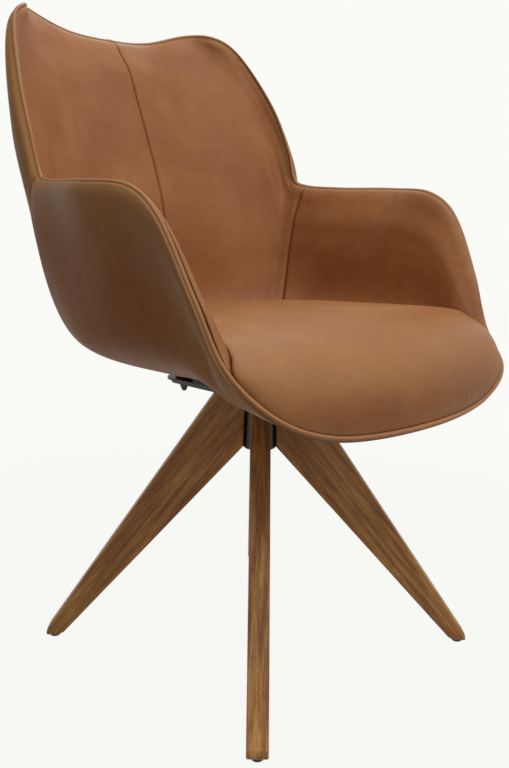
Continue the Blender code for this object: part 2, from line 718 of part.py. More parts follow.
def outward_normals(columns):
    count = len(columns)
    normals = []
    for index in range(count):
        before = columns[index - 1]
        after = columns[(index + 1) % count]
        own = columns[index]
        line = []
        for row in range(len(own)):
            across = after[row] - before[row]
            up = own[min(row + 1, len(own) - 1)] - own[max(row - 1, 0)]
            line.append(up.cross(across).normalized())
        normals.append(line)
    return normals


def ease_in(share):
    share = min(max(share, 0.0), 1.0)
    return share * share * (3 - 2 * share)


class Bucket:
    """The bucket's grid with every layer's depth below its outer skin."""

    def __init__(self):
        self.columns, self.cord = bucket_grid()
        self.normals = outward_normals(self.columns)
        self.count = len(self.columns)
        self.last = len(self.columns[0]) - 1
        for column, line in zip(self.columns, self.normals):
            line[0] = Vector((0, 0, -1))
        self.pad_end = rib_column(PAD_LAST_RIB)

    def wall_share(self, column, row):
        """0 at the rim, 1 where the layers have their full thickness."""
        rim = self.columns[column][self.last]
        return ease_in((rim - self.columns[column][row]).length / RIM_EASE_LENGTH)

    def pad_share(self, column):
        """1 where pads cover the shell, 0 along the seat's front."""
        steps = min(column, self.count - column)
        return 1.0 - ease_in((steps - self.pad_end + PAD_FADE_START) / PAD_FADE_COLUMNS)

    def shell_depth(self, column, row):
        share = self.wall_share(column, row)
        thickness = SHELL_RIM_THICKNESS + (SHELL_THICKNESS - SHELL_RIM_THICKNESS) * share
        return COVER_THICKNESS + COVER_GAP + thickness

    def pad_depth(self, column, row):
        """Depth of the pads' faces, with a dip along each seam."""
        share = self.wall_share(column, row)
        full = PAD_THICKNESS + (BACK_PAD_THICKNESS - PAD_THICKNESS) * back_share(column, self.count)
        thickness = PAD_RIM_THICKNESS + (full - PAD_RIM_THICKNESS) * share
        steps = min(column, self.count - column)
        to_seam = min(abs(steps - seam) for seam in (0, rib_column(SEAM_RIB)))
        thickness -= PAD_SEAM_DIP * share * max(0.0, 1 - to_seam / SEAM_DIP_COLUMNS)
        return self.shell_depth(column, row) + PAD_GAP + thickness * self.pad_share(column)

    def row_below_rim(self, column, setback):
        """Fractional row that lies a given distance below the rim, measured square to the rim."""
        rim = self.columns[column][self.last]
        along_rim = (self.cord[(column + 1) % self.count] - self.cord[column - 1]).normalized()
        nearer = 0.0
        for row in range(self.last - 1, 0, -1):
            drop = (self.columns[column][row] - rim).cross(along_rim).length
            if drop > setback:
                return row + (drop - setback) / (drop - nearer)
            nearer = drop
        return 1.0

    def inside(self, column, row, depth):
        return self.columns[column][row] - self.normals[column][row] * depth

    def at_row(self, column, row, depth_of, extra=0.0):
        """Point of a layer's face at a fractional row, on the straight line between two rows."""
        low = min(int(row), self.last - 1)
        share = row - low
        a = self.inside(column, low, depth_of(column, low) + extra)
        b = self.inside(column, low + 1, depth_of(column, low + 1) + extra)
        return a.lerp(b, share)


def layer_solid(bucket, outer_depth, inner_depth, setback):
    """Closed bowl between two depths, from the pan's middle to a setback below the rim."""
    bm = bmesh.new()
    sheets = []
    for depth_of in (outer_depth, inner_depth):
        floor = bucket.at_row(0, 0, depth_of).z
        rings = [[bm.verts.new((0, 0, floor))]]
        edge = [bucket.at_row(c, 0, depth_of) for c in range(bucket.count)]
        rings.append([bm.verts.new((p.x * PAN_CENTRE, p.y * PAN_CENTRE, p.z)) for p in edge])
        ends = [bucket.row_below_rim(c, setback) for c in range(bucket.count)]
        for row in range(bucket.last + 1):
            squeeze = ROW_SQUEEZE * (bucket.last - row)
            places = [bucket.at_row(c, min(row, end - squeeze), depth_of) for c, end in enumerate(ends)]
            rings.append([bm.verts.new(place) for place in places])
        for low, high in zip(rings, rings[1:]):
            bridge_skin(bm, low, high)
        sheets.append(rings)
    bridge_skin(bm, sheets[0][-1], sheets[1][-1])
    return bm


def make_cover(bucket):
    cover = add_object(
        "outer_cover",
        layer_solid(bucket, lambda c, r: 0.0, lambda c, r: COVER_THICKNESS, 0.0),
        LOOKS["leather"],
    )
    bore_for_studs(cover, STUD_RADIUS + GAP, PAN_HEIGHT - CUT_REACH, PAN_HEIGHT + CUT_REACH, "cover_hole")


def make_shell(bucket):
    shell = add_object(
        "seat_shell",
        layer_solid(bucket, lambda c, r: COVER_THICKNESS + COVER_GAP, bucket.shell_depth, SHELL_RIM_SETBACK),
        LOOKS["shell"],
    )
    floor = shell_floor()[1]
    recess = floor - GAP - STUD_HEAD_THICKNESS - GAP
    bore_for_studs(shell, STUD_RADIUS + GAP, PAN_HEIGHT - CUT_REACH, floor + CUT_REACH, "shell_hole")
    bore_for_studs(shell, STUD_HEAD_RADIUS + GAP, recess, floor + CUT_REACH, "stud_recess")


def pad_solid(bucket, columns):
    """Closed pad on the shell's inner face, over a run of grid columns."""
    bm = bmesh.new()
    rows = list(range(PAD_FIRST_ROW, bucket.last + 1))
    ends = {0: 1, len(columns) - 1: -1}
    back, face = [], []
    for place, column in enumerate(columns):
        neighbour = columns[place + ends.get(place, 0)]
        for sheet, depth_of, extra in ((back, bucket.shell_depth, PAD_GAP), (face, bucket.pad_depth, 0.0)):
            line = []
            for row in rows:
                point = bucket.at_row(column, row, depth_of, extra)
                inward = bucket.at_row(neighbour, row, depth_of, extra) - point
                line.append(bm.verts.new(point + inward.normalized() * SEAM_GAP))
            sheet.append(line)
    for place, column in enumerate(columns[:-1]):
        mirrored = column >= bucket.count // 2
        for sheet in (back, face):
            for low in range(len(rows) - 1):
                panel(bm, sheet[place][low], sheet[place][low + 1],
                      sheet[place + 1][low], sheet[place + 1][low + 1], mirrored)
        for row in (0, -1):
            panel(bm, back[place][row], face[place][row],
                  back[place + 1][row], face[place + 1][row], mirrored)
    for place in (0, -1):
        for low in range(len(rows) - 1):
            panel(bm, back[place][low], face[place][low],
                  back[place][low + 1], face[place][low + 1], False)
    return bm


def make_pads(bucket):
    seam = rib_column(SEAM_RIB)
    spans = {
        "back_pad_right": list(range(0, seam + 1)),
        "arm_pad_right": list(range(seam, bucket.pad_end + 1)),
    }
    for name, columns in spans.items():
        add_object(name, pad_solid(bucket, columns), LOOKS["leather"])
        mirrored = [-c % bucket.count for c in reversed(columns)]
        add_object(name.replace("right", "left"), pad_solid(bucket, mirrored), LOOKS["leather"])


def tuck_row(bucket, column):
    """Row, as a fraction, where the cushion's edge tucks in against the pads or meets the rim."""
    def height_over_tuck(row):
        point = bucket.at_row(column, row, bucket.pad_depth)
        return point.z + SEAT_SLOPE * point.y - CUSHION_TUCK_HEIGHT
    for row in range(PAD_FIRST_ROW, bucket.last):
        below = height_over_tuck(row)
        above = height_over_tuck(row + 1)
        if below <= 0 < above:
            return row - below / (above - below)
    return bucket.row_below_rim(column, CUSHION_RIM_SETBACK)


def make_cushion(bucket):
    bm = bmesh.new()
    crown = Vector((0, CROWN_BACK_SHIFT, CROWN_HEIGHT))
    floor = bucket.at_row(0, 0, bucket.shell_depth, SOFT_GAP).z
    lines = []
    for column in range(bucket.count):
        line = []
        edge = bucket.at_row(column, 0, bucket.shell_depth, SOFT_GAP)
        line.append(Vector((edge.x * PAN_CENTRE, edge.y * PAN_CENTRE, edge.z)))
        for row in range(PAD_FIRST_ROW):
            line.append(bucket.at_row(column, row, bucket.shell_depth, SOFT_GAP))
        line.append(bucket.at_row(column, PAD_FIRST_ROW - 0.1, bucket.shell_depth, SOFT_GAP))
        line.append(bucket.at_row(column, PAD_FIRST_ROW - 0.1, bucket.pad_depth, SOFT_GAP))
        tuck = tuck_row(bucket, column)
        to_arm_end = abs(min(column, bucket.count - column) - bucket.pad_end + 1)
        side_gap = SOFT_GAP + CUSHION_CORNER_RELIEF * max(0.0, 1 - to_arm_end / CORNER_RELIEF_COLUMNS)
        for row in range(PAD_FIRST_ROW, bucket.last + 1):
            highest = tuck - ROW_SQUEEZE * (bucket.last - row)
            line.append(bucket.at_row(column, min(row, highest), bucket.pad_depth, side_gap))
        line += cushion_top(line[-1], crown)
        lines.append(line)
    rings = [[bm.verts.new((0, 0, floor))]]
    rings += [[bm.verts.new(point) for point in ring] for ring in zip(*lines)]
    rings.append([bm.verts.new(crown)])
    for low, high in zip(rings, rings[1:]):
        bridge_skin(bm, low, high)
    add_object("seat_cushion", bm, LOOKS["leather"])


def cushion_top(edge, crown):
    """Points from the cushion's edge up over its roll and in towards the crown."""
    height = crown.z - edge.z
    plan = Vector((edge.x - crown.x, edge.y - crown.y, 0))
    outward = plan.normalized()
    first = edge + outward * (height * CUSHION_ROLL) + Vector((0, 0, height * CUSHION_SHOULDER))
    second = crown + plan * CUSHION_SPREAD
    second.z -= SEAT_SLOPE * (second.y - crown.y)
    points = []
    for share in CUSHION_TOP_SHARES:
        rest = 1 - share
        points.append(
            edge * rest ** 3
            + first * (3 * rest * rest * share)
            + second * (3 * rest * share * share)
            + crown * share ** 3
        )
    return points


def make_piping(bucket):
    curve = bpy.data.curves.new("rim_piping", "CURVE")
    curve.dimensions = "3D"
    curve.bevel_depth = CORD_RADIUS
    curve.bevel_resolution = 1
    curve.resolution_u = 1
    curve.render_resolution_u = 0
    spline = curve.splines.new("POLY")
    spline.points.add(bucket.count - 1)
    for point, place in zip(spline.points, bucket.cord):
        point.co = (*place, 1.0)
    spline.use_cyclic_u = True
    curve.materials.append(LOOKS["piping"])
    made = bpy.data.objects.new("rim_piping", curve)
    bpy.context.collection.objects.link(made)
    made.location = (0.0, AXIS_Y, 0.0)


def build():
    clear_scene()
    hub_space = hub_room()
    for name, direction in LEG_DIRECTIONS.items():
        make_leg(name, direction, hub_space)
        make_glide(name, direction)
    make_hub()
    make_bolts()
    make_bushes()
    make_hub_cap()
    make_spindle()
    make_plates()
    make_studs_and_nuts()
    bucket = Bucket()
    make_cover(bucket)
    make_shell(bucket)
    make_pads(bucket)
    make_cushion(bucket)
    make_piping(bucket)


build()
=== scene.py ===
# %% [markdown]
# # A leather swivel armchair
#
# The chair has two halves that turn on each other. The base is four flat oak legs bolted to a black
# steel hub. The seat is one deep bucket: a moulded shell, leather stretched over the outside, foam
# pads under leather on the inside, a loose-looking seat cushion, and a piping cord that closes the
# rim.
#
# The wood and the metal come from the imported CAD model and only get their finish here. Everything
# soft is made anew in this file, because leather over foam needs finer shapes than the CAD solids
# have.

# %% Load the frame
from math import cos, pi, radians, sin

import bmesh
import bpy
import numpy as np
from mathutils import Matrix, Vector
from mathutils.kdtree import KDTree


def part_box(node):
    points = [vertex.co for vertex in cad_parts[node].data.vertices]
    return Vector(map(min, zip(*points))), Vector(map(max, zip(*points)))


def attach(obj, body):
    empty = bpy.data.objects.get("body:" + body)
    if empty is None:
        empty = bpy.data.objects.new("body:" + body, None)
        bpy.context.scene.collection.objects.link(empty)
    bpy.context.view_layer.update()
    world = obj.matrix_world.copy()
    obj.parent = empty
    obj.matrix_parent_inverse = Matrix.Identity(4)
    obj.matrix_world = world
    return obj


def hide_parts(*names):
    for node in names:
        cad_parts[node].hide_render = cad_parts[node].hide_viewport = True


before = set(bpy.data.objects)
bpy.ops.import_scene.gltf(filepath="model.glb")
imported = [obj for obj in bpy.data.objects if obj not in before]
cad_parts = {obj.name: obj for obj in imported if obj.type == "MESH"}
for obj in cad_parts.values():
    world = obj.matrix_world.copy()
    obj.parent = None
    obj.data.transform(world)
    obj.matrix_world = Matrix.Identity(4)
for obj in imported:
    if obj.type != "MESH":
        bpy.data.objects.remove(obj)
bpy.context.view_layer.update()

hub_low, hub_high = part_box("hub")
AXIS_Y = (hub_low.y + hub_high.y) / 2
print("the swivel axis stands at y =", round(AXIS_Y, 4))

# %% [markdown]
# ## Camera
#
# The photograph looks at the chair's front left corner from a little above the arms, at about one
# and a quarter metres. The four feet, the hub and the rim fix where the camera stood, so it is
# placed by distance, bearing and height from the swivel axis, and then turned, tipped and rolled by
# the small angles that were left.

# %% Camera
CAMERA_DISTANCE = 1.227
CAMERA_BEARING = radians(45.75)
CAMERA_HEIGHT = 0.634
CAMERA_TURN = radians(0.40)
CAMERA_TIP = radians(11.69)
CAMERA_ROLL = radians(0.96)
CAMERA_LENS = 42.35

look = pi / 2 - CAMERA_BEARING + CAMERA_TURN
forward = Vector((cos(look) * cos(CAMERA_TIP), sin(look) * cos(CAMERA_TIP), -sin(CAMERA_TIP)))
level_right = forward.cross(Vector((0, 0, 1))).normalized()
level_up = level_right.cross(forward)
right = level_right * cos(CAMERA_ROLL) + level_up * sin(CAMERA_ROLL)
up = level_up * cos(CAMERA_ROLL) - level_right * sin(CAMERA_ROLL)

camera_data = bpy.data.cameras.new("camera")
camera_data.lens = CAMERA_LENS
camera = bpy.data.objects.new("camera", camera_data)
bpy.context.scene.collection.objects.link(camera)
camera_place = Vector((
    -CAMERA_DISTANCE * sin(CAMERA_BEARING),
    -CAMERA_DISTANCE * cos(CAMERA_BEARING) + AXIS_Y,
    CAMERA_HEIGHT,
))
turn = Matrix((right, up, -forward)).transposed().to_4x4()
camera.matrix_world = Matrix.Translation(camera_place) @ turn
bpy.context.scene.camera = camera

# %% [markdown]
# ## Floor and light
#
# The chair was photographed for a catalogue: a near-white surround and a large soft light overhead,
# so that what faces up is bright and the walls that lean outwards are dark. The surround is white
# only to the camera and in reflections. What lights the chair is a dimmer sky, darkest at the
# horizon, with a broad lamp overhead and a smaller one in front. Three weak lamps lift the rear,
# the camera's side and the legs.

# %% Floor, world and lamps
SURROUND_HEX = "FAFAF7"
HORIZON_LIGHT = 0.13
ZENITH_LIGHT = 0.36
FLOOR_HEX = "989692"
FLOOR_GLOW = 0.965
FLOOR_GLOW_NEAR = 0.45
FLOOR_GLOW_FAR = 1.5
FLOOR_HALF_SIZE = 30


def linear(hex_colour):
    """An sRGB hex colour as linear red, green and blue, as shaders want it."""
    parts = [int(hex_colour[i:i + 2], 16) / 255 for i in (0, 2, 4)]
    return tuple(p / 12.92 if p <= 0.04045 else ((p + 0.055) / 1.055) ** 2.4 for p in parts) + (1.0,)


def add(tree, kind, settings=None, **inputs):
    """Add a node; settings go on the node, inputs on its sockets, either as values or as links."""
    made = tree.nodes.new(kind)
    for key, value in (settings or {}).items():
        setattr(made, key, value)
    for key, value in inputs.items():
        wanted = key.replace("_", " ")
        numbered = wanted.split(" ")[-1]
        socket = made.inputs[int(numbered)] if numbered.isdigit() else made.inputs[wanted]
        if isinstance(value, bpy.types.NodeSocket):
            tree.links.new(value, socket)
        else:
            socket.default_value = value
    return made


def product(tree, first, second):
    return add(tree, "ShaderNodeMath", {"operation": "MULTIPLY"}, in_0=first, in_1=second).outputs[0]


def looked_at(tree):
    """1 for what the camera, a mirror or glass sees, 0 for what only lights the chair."""
    path = add(tree, "ShaderNodeLightPath")
    seen = path.outputs["Is Camera Ray"]
    for ray in ("Is Glossy Ray", "Is Transmission Ray"):
        either = add(tree, "ShaderNodeMath", {"operation": "MAXIMUM"}, in_0=seen, in_1=path.outputs[ray])
        seen = either.outputs[0]
    return seen


bpy.context.scene.view_settings.view_transform = "Standard"

world = bpy.data.worlds.new("studio")
bpy.context.scene.world = world
world.use_nodes = True
sky = world.node_tree
sky.nodes.clear()
direction = add(sky, "ShaderNodeTexCoord").outputs["Generated"]
toward = add(sky, "ShaderNodeSeparateXYZ", Vector=direction).outputs["Z"]
light = add(sky, "ShaderNodeMapRange", Value=toward, To_Min=HORIZON_LIGHT, To_Max=ZENITH_LIGHT).outputs[0]
strength = add(sky, "ShaderNodeMapRange", Value=looked_at(sky), To_Min=light, To_Max=1.0)
background = add(sky, "ShaderNodeBackground", Color=linear(SURROUND_HEX), Strength=strength.outputs[0])
add(sky, "ShaderNodeOutputWorld", Surface=background.outputs[0])


def add_lamp(name, place, target, size, watts):
    data = bpy.data.lights.new(name, "AREA")
    data.shape = "DISK"
    data.size = size
    data.energy = watts
    lamp = bpy.data.objects.new(name, data)
    bpy.context.scene.collection.objects.link(lamp)
    lamp.location = place
    lamp.rotation_mode = "QUATERNION"
    lamp.rotation_quaternion = (Vector(target) - Vector(place)).to_track_quat("-Z", "Y")
    return lamp


add_lamp("overhead_lamp", (0.1, -0.6, 2.6), (0, 0, 0.5), size=1.8, watts=28)
add_lamp("key_lamp", (0.9, -2.1, 2.0), (0, 0, 0.6), size=0.9, watts=13)
add_lamp("rear_lamp", (0.9, 1.0, 2.1), (0, 0, 0.5), size=0.7, watts=4)
add_lamp("camera_side_lamp", (-1.2, -1.5, 2.2), (0, 0, 0.1), size=1.0, watts=3)
add_lamp("low_lamp", (-1.3, -1.4, 0.9), (0, 0, 0.15), size=0.8, watts=1.1)

bm = bmesh.new()
bmesh.ops.create_grid(bm, x_segments=1, y_segments=1, size=FLOOR_HALF_SIZE)
floor_mesh = bpy.data.meshes.new("floor")
bm.to_mesh(floor_mesh)
bm.free()
floor = bpy.data.objects.new("floor", floor_mesh)
bpy.context.scene.collection.objects.link(floor)

floor_paint = bpy.data.materials.new("white studio floor")
floor_paint.use_nodes = True
tree = floor_paint.node_tree
tree.nodes.clear()
place = add(tree, "ShaderNodeTexCoord").outputs["Object"]
away = add(tree, "ShaderNodeVectorMath", {"operation": "LENGTH"}, in_0=place).outputs["Value"]
fade = add(tree, "ShaderNodeMapRange", {"interpolation_type": "SMOOTHSTEP"}, Value=away,
           From_Min=FLOOR_GLOW_NEAR, From_Max=FLOOR_GLOW_FAR, To_Min=FLOOR_GLOW).outputs[0]
share = product(tree, looked_at(tree), fade)
matt = add(tree, "ShaderNodeBsdfDiffuse", Color=linear(FLOOR_HEX))
glow = add(tree, "ShaderNodeEmission", Color=linear(SURROUND_HEX), Strength=1.0)
mix = add(tree, "ShaderNodeMixShader", in_0=share, in_1=matt.outputs[0], in_2=glow.outputs[0])
add(tree, "ShaderNodeOutputMaterial", Surface=mix.outputs[0])
floor_mesh.materials.append(floor_paint)

# %% [markdown]
# ## The form under the leather
#
# An upholsterer starts from the shell: a bowl with low sides in front, arms, and a winged back. It
# is described by ribs. Each rib runs up the outside from hip to waist to rim at one named place,
# and smooth curves join the ribs all round. Only the right half is written down, because the left
# one is its mirror image.

# %% Ribs of the bucket: rim, waist and hip of each, from back centre to front centre
RIBS = {
    "back centre": ((0.000, 0.331, 0.8628), (0.000, 0.246, 0.620), (0.000, 0.212, 0.450)),
    "back quarter": ((0.073, 0.3395, 0.869), (0.070, 0.247, 0.620), (0.064, 0.210, 0.450)),
    "below the tip": ((0.149, 0.3287, 0.8887), (0.130, 0.242, 0.620), (0.114, 0.203, 0.450)),
    "wing tip": ((0.1730, 0.2955, 0.8866), (0.162, 0.233, 0.620), (0.135, 0.197, 0.449)),
    "wing shoulder": ((0.2018, 0.2728, 0.8688), (0.193, 0.222, 0.610), (0.154, 0.190, 0.448)),
    "wing front": ((0.2336, 0.2134, 0.7805), (0.2182, 0.2053, 0.600), (0.171, 0.180, 0.446)),
    "wing foot": ((0.2406, 0.1784, 0.707), (0.2322, 0.1918, 0.590), (0.184, 0.170, 0.444)),
    "inner corner": ((0.2405, 0.1612, 0.659), (0.240, 0.1775, 0.580), (0.192, 0.1602, 0.4447)),
    "back seam": ((0.247, 0.146, 0.6525), (0.2445, 0.161, 0.572), (0.1998, 0.150, 0.4448)),
    "arm rear": ((0.263, 0.085, 0.649), (0.2550, 0.0892, 0.560), (0.2315, 0.0885, 0.450)),
    "arm middle": ((0.287, 0.001, 0.649), (0.271, -0.002, 0.560), (0.247, 0.000, 0.458)),
    "arm front": ((0.2795, -0.074, 0.6435), (0.270, -0.076, 0.555), (0.251, -0.076, 0.460)),
    "arm corner": ((0.2775, -0.114, 0.6185), (0.269, -0.116, 0.540), (0.249, -0.118, 0.456)),
    "arm slope": ((0.2665, -0.1645, 0.528), (0.260, -0.164, 0.485), (0.240, -0.158, 0.436)),
    "arm foot": ((0.2525, -0.1975, 0.457), (0.242, -0.188, 0.432), (0.217, -0.172, 0.413)),
    "seat corner": ((0.2262, -0.2408, 0.4125), (0.206, -0.214, 0.401), (0.172, -0.180, 0.398)),
    "seat front": ((0.1585, -0.2605, 0.3835), (0.132, -0.228, 0.384), (0.104, -0.182, 0.393)),
    "front centre": ((0.000, -0.278, 0.3745), (0.000, -0.238, 0.378), (0.000, -0.184, 0.390)),
}
RIB_NAMES = tuple(RIBS)
LAST_RIB = len(RIB_NAMES) - 1
RIBS_ROUND = 2 * LAST_RIB
PAN_HEIGHT = 0.4035
PAN_HALF_WIDTH = 0.118
PAN_HALF_DEPTH = 0.108
RIM_HALF_WIDTH = 0.0062
FRONT_RIM_HALF_WIDTH = 0.0050
RIM_DROP = 0.002
BACK_BELLY = 0.0135
BACK_BELLY_AT_MIDDLE = 0.25
BELLY_STARTS = 1.6
BELLY_ENDS = 8
BACK_FADE = (4.5, 3.5)
FRONT_FADE = 2


def rib_at(name):
    """A rib's number, which is its place u on the way round."""
    return float(RIB_NAMES.index(name))


def whole_ring(level):
    """One level of all ribs, with the mirrored half, as an array of points."""
    half = np.array([RIBS[name][level] for name in RIB_NAMES])
    mirrored = half[-2:0:-1] * (-1, 1, 1)
    return np.concatenate((half, mirrored))


def curve_between(before, start, end, after, share):
    """Centripetal curve from start to end, for arrays of points and of shares."""
    def knot(a, b):
        return np.sqrt(np.maximum(np.linalg.norm(b - a, axis=-1, keepdims=True), 1e-6))
    t1 = knot(before, start)
    t2 = t1 + knot(start, end)
    t3 = t2 + knot(end, after)
    t = t1 + (t2 - t1) * share
    a1 = before * ((t1 - t) / t1) + start * (t / t1)
    a2 = start * ((t2 - t) / (t2 - t1)) + end * ((t - t1) / (t2 - t1))
    a3 = end * ((t3 - t) / (t3 - t2)) + after * ((t - t2) / (t3 - t2))
    b1 = a1 * ((t2 - t) / t2) + a2 * (t / t2)
    b2 = a2 * ((t3 - t) / (t3 - t1)) + a3 * ((t - t1) / (t3 - t1))
    return b1 * ((t2 - t) / (t2 - t1)) + b2 * ((t - t1) / (t2 - t1))


def round_ring(ring, u):
    """Points of a closed ring at places u, which may be fractions."""
    low = np.floor(u).astype(int)
    share = (u - low)[..., None]
    before, start, end, after = (ring[(low + k) % RIBS_ROUND] for k in (-1, 0, 1, 2))
    return curve_between(before, start, end, after, share)


def ease(share):
    share = np.clip(share, 0.0, 1.0)
    return share * share * (3 - 2 * share)


def half_turn_place(u):
    """The same place on the right half: 0 at the back centre, LAST_RIB at the front centre."""
    u = np.mod(u, RIBS_ROUND)
    return np.minimum(u, RIBS_ROUND - u)


def behind_sitter(u):
    """1 behind the sitter's back, 0 along the arms and the front."""
    start, length = BACK_FADE
    return 1 - ease((half_turn_place(u) - start) / length)


def along_front(u):
    """1 along the seat's front edge, 0 from the arms back."""
    return ease((half_turn_place(u) - rib_at("arm slope")) / FRONT_FADE)


RIM_RING, WAIST_RING, HIP_RING = (whole_ring(level) for level in (0, 1, 2))


def cord_line(u):
    return round_ring(RIM_RING, u)


def rim_directions(u):
    """Unit vectors at the rim: along it, up the wall, and outwards."""
    step = 0.02
    along = cord_line(u + step) - cord_line(u - step)
    along /= np.linalg.norm(along, axis=-1, keepdims=True)
    rise = cord_line(u) - round_ring(WAIST_RING, u)
    rise /= np.linalg.norm(rise, axis=-1, keepdims=True)
    outward = np.cross(rise, along)
    outward /= np.linalg.norm(outward, axis=-1, keepdims=True)
    return along, rise, outward


# %% [markdown]
# The skin is read at any place u round the bucket and any height w up the wall: 0 is the edge of
# the flat pan, 1 the hip, 2 the waist and 3 the rim. Depths are then measured straight in from that
# skin, so leather, shell and foam stay parallel, as they do on the real chair.

# %% The outer skin and its depth
def rim_half_width(u):
    """From the cord's middle to the outside of the cover."""
    return RIM_HALF_WIDTH + (FRONT_RIM_HALF_WIDTH - RIM_HALF_WIDTH) * along_front(u)


def outer_skin(u, w):
    """Points of the bucket's outside for arrays of u and w of one shape."""
    cord = cord_line(u)
    waist = round_ring(WAIST_RING, u)
    hip = round_ring(HIP_RING, u)
    bearing = np.arctan2(hip[..., 0] / PAN_HALF_WIDTH, hip[..., 1] / PAN_HALF_DEPTH)
    pan = np.stack((PAN_HALF_WIDTH * np.sin(bearing), PAN_HALF_DEPTH * np.cos(bearing),
                    np.full_like(bearing, PAN_HEIGHT)), axis=-1)
    centre = pan * (0.5, 0.5, 1.0)
    along, rise, outward = rim_directions(u)
    rim = cord + outward * rim_half_width(u)[..., None] - rise * RIM_DROP
    beyond = rim + (rim - waist) * 0.5
    knots = (centre, pan, hip, waist, rim, beyond)
    points = np.zeros(u.shape + (3,))
    for span in range(3):
        here = (w >= span) & (w <= span + 1)
        four = [knot[here] for knot in knots[span:span + 4]]
        points[here] = curve_between(*four, (w[here] - span)[..., None])
    up_the_back = np.clip(w - 2, 0, 1)
    to_wing = ease(half_turn_place(u) / rib_at("wing tip"))
    belly = BACK_BELLY * (BACK_BELLY_AT_MIDDLE + (1 - BACK_BELLY_AT_MIDDLE) * to_wing)
    belly = belly * behind_sitter(u) * ease(up_the_back * BELLY_STARTS) * (1 - up_the_back ** BELLY_ENDS)
    return points + outward * belly[..., None]


def skin_frame(u, w):
    """Skin points and their outward normals."""
    points = outer_skin(u, w)
    step = 0.004
    w_low, w_high = np.clip(w - step, 0, 3), np.clip(w + step, 0, 3)
    upward = outer_skin(u, w_high) - outer_skin(u, w_low)
    across = outer_skin(u + step, w) - outer_skin(u - step, w)
    normals = np.cross(upward, across)
    normals /= np.linalg.norm(normals, axis=-1, keepdims=True)
    return points, normals


def below_rim(u, w, points):
    """Distance from the rim in metres, straight down each rib."""
    rim = outer_skin(u, np.full_like(w, 3.0))
    return np.linalg.norm(rim - points, axis=-1)


def evenly_round(start, end, spacing, ring=RIM_RING):
    """Places u from start to end that lie a real distance apart along a ring."""
    fine = np.linspace(start, end, 4000)
    line = round_ring(ring, fine)
    length = np.concatenate(([0.0], np.cumsum(np.linalg.norm(np.diff(line, axis=0), axis=1))))
    count = max(2, round(length[-1] / spacing))
    return np.interp(np.linspace(0, length[-1], count + 1), length, fine)


rim_places = evenly_round(0, RIBS_ROUND, 0.006)
rim_line = cord_line(rim_places)
print("the rim is", round(float(np.linalg.norm(np.diff(rim_line, axis=0), axis=1).sum()), 3), "m long")

# %% [markdown]
# ## Making a piece from sheets
#
# Leather is cut flat and pulled over a form. Each soft piece is made the same way here: a flat
# grid, or a flat slab with two faces, whose vertices are then moved to their places on the form. A
# piece that runs all the way round loses its two end walls and is closed where they met.

# %% Helper: wrap a flat grid onto places
def wrapped(name, layers, closed_round=False):
    """Mesh object from an array of places: one or two layers of columns by rows."""
    layers = np.asarray(layers)
    depth, columns, rows = layers.shape[:3]
    bm = bmesh.new()
    bmesh.ops.create_grid(bm, x_segments=columns - 1, y_segments=rows - 1, size=1)
    if depth == 2:
        made = bmesh.ops.extrude_face_region(bm, geom=bm.faces[:], use_keep_orig=True)
        lifted = [part for part in made["geom"] if isinstance(part, bmesh.types.BMVert)]
        bmesh.ops.translate(bm, verts=lifted, vec=(0, 0, 1))
    if closed_round:
        walls = [face for face in bm.faces if all(abs(vert.co.x) > 0.99999 for vert in face.verts)]
        bmesh.ops.delete(bm, geom=walls, context="FACES_ONLY")
    mesh = bpy.data.meshes.new(name)
    bm.to_mesh(mesh)
    flat = np.empty(len(mesh.vertices) * 3)
    mesh.vertices.foreach_get("co", flat)
    x, y, z = flat.reshape(-1, 3).T
    column = np.rint((x + 1) / 2 * (columns - 1)).astype(int)
    row = np.rint((y + 1) / 2 * (rows - 1)).astype(int)
    places = layers[np.rint(z).astype(int), column, row] + (0, AXIS_Y, 0)
    mesh.vertices.foreach_set("co", places.ravel())
    bm.free()
    bm = bmesh.new()
    bm.from_mesh(mesh)
    if closed_round:
        bmesh.ops.remove_doubles(bm, verts=bm.verts, dist=1e-6)
    bmesh.ops.recalc_face_normals(bm, faces=bm.faces)
    for face in bm.faces:
        face.smooth = True
    bm.to_mesh(mesh)
    bm.free()
    piece = bpy.data.objects.new(name, mesh)
    bpy.context.scene.collection.objects.link(piece)
    return piece


def paint(piece, label, values_at):
    """Store a value for each vertex, worked out from its place round the axis."""
    mesh = piece.data
    flat = np.empty(len(mesh.vertices) * 3)
    mesh.vertices.foreach_get("co", flat)
    values = values_at(flat.reshape(-1, 3) - (0, AXIS_Y, 0))
    layer = mesh.attributes.new(label, "FLOAT", "POINT")
    layer.data.foreach_set("value", np.asarray(values, dtype=float))


def settle(piece, slot, *nodes):
    """A finished soft piece turns with the seat and stands for its CAD nodes."""
    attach(piece, "seat")
    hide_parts(*nodes)
    size = [round(v * 1000) for v in piece.dimensions]
    print(piece.name, len(piece.data.polygons), "faces,", size, "mm")


def wall_heights(u, lowest, shares):
    """Heights w for each place u, spread by real length from the lowest height to the rim."""
    fine = np.linspace(0, 1, 160)
    heights = np.empty((len(u), len(shares)))
    lowest = np.broadcast_to(lowest, (len(u),))
    for index, place in enumerate(u):
        w = lowest[index] + (3 - lowest[index]) * fine
        line = outer_skin(np.full_like(w, place), w)
        length = np.concatenate(([0.0], np.cumsum(np.linalg.norm(np.diff(line, axis=0), axis=1))))
        heights[index] = np.interp(np.asarray(shares) * length[-1], length, w)
    return heights


# %% [markdown]
# ## Outer cover
#
# One piece of leather is stretched over the outside of the shell from the pan up to the rim. There
# its hem is tucked in under the piping, and below the hem the leather swells out in a soft roll.
# Where the wing meets the arm it has too much length for the corner, so it stands in one soft
# vertical crease. Cut flat, it is a strip as long as the rim and as high as the tallest wall.

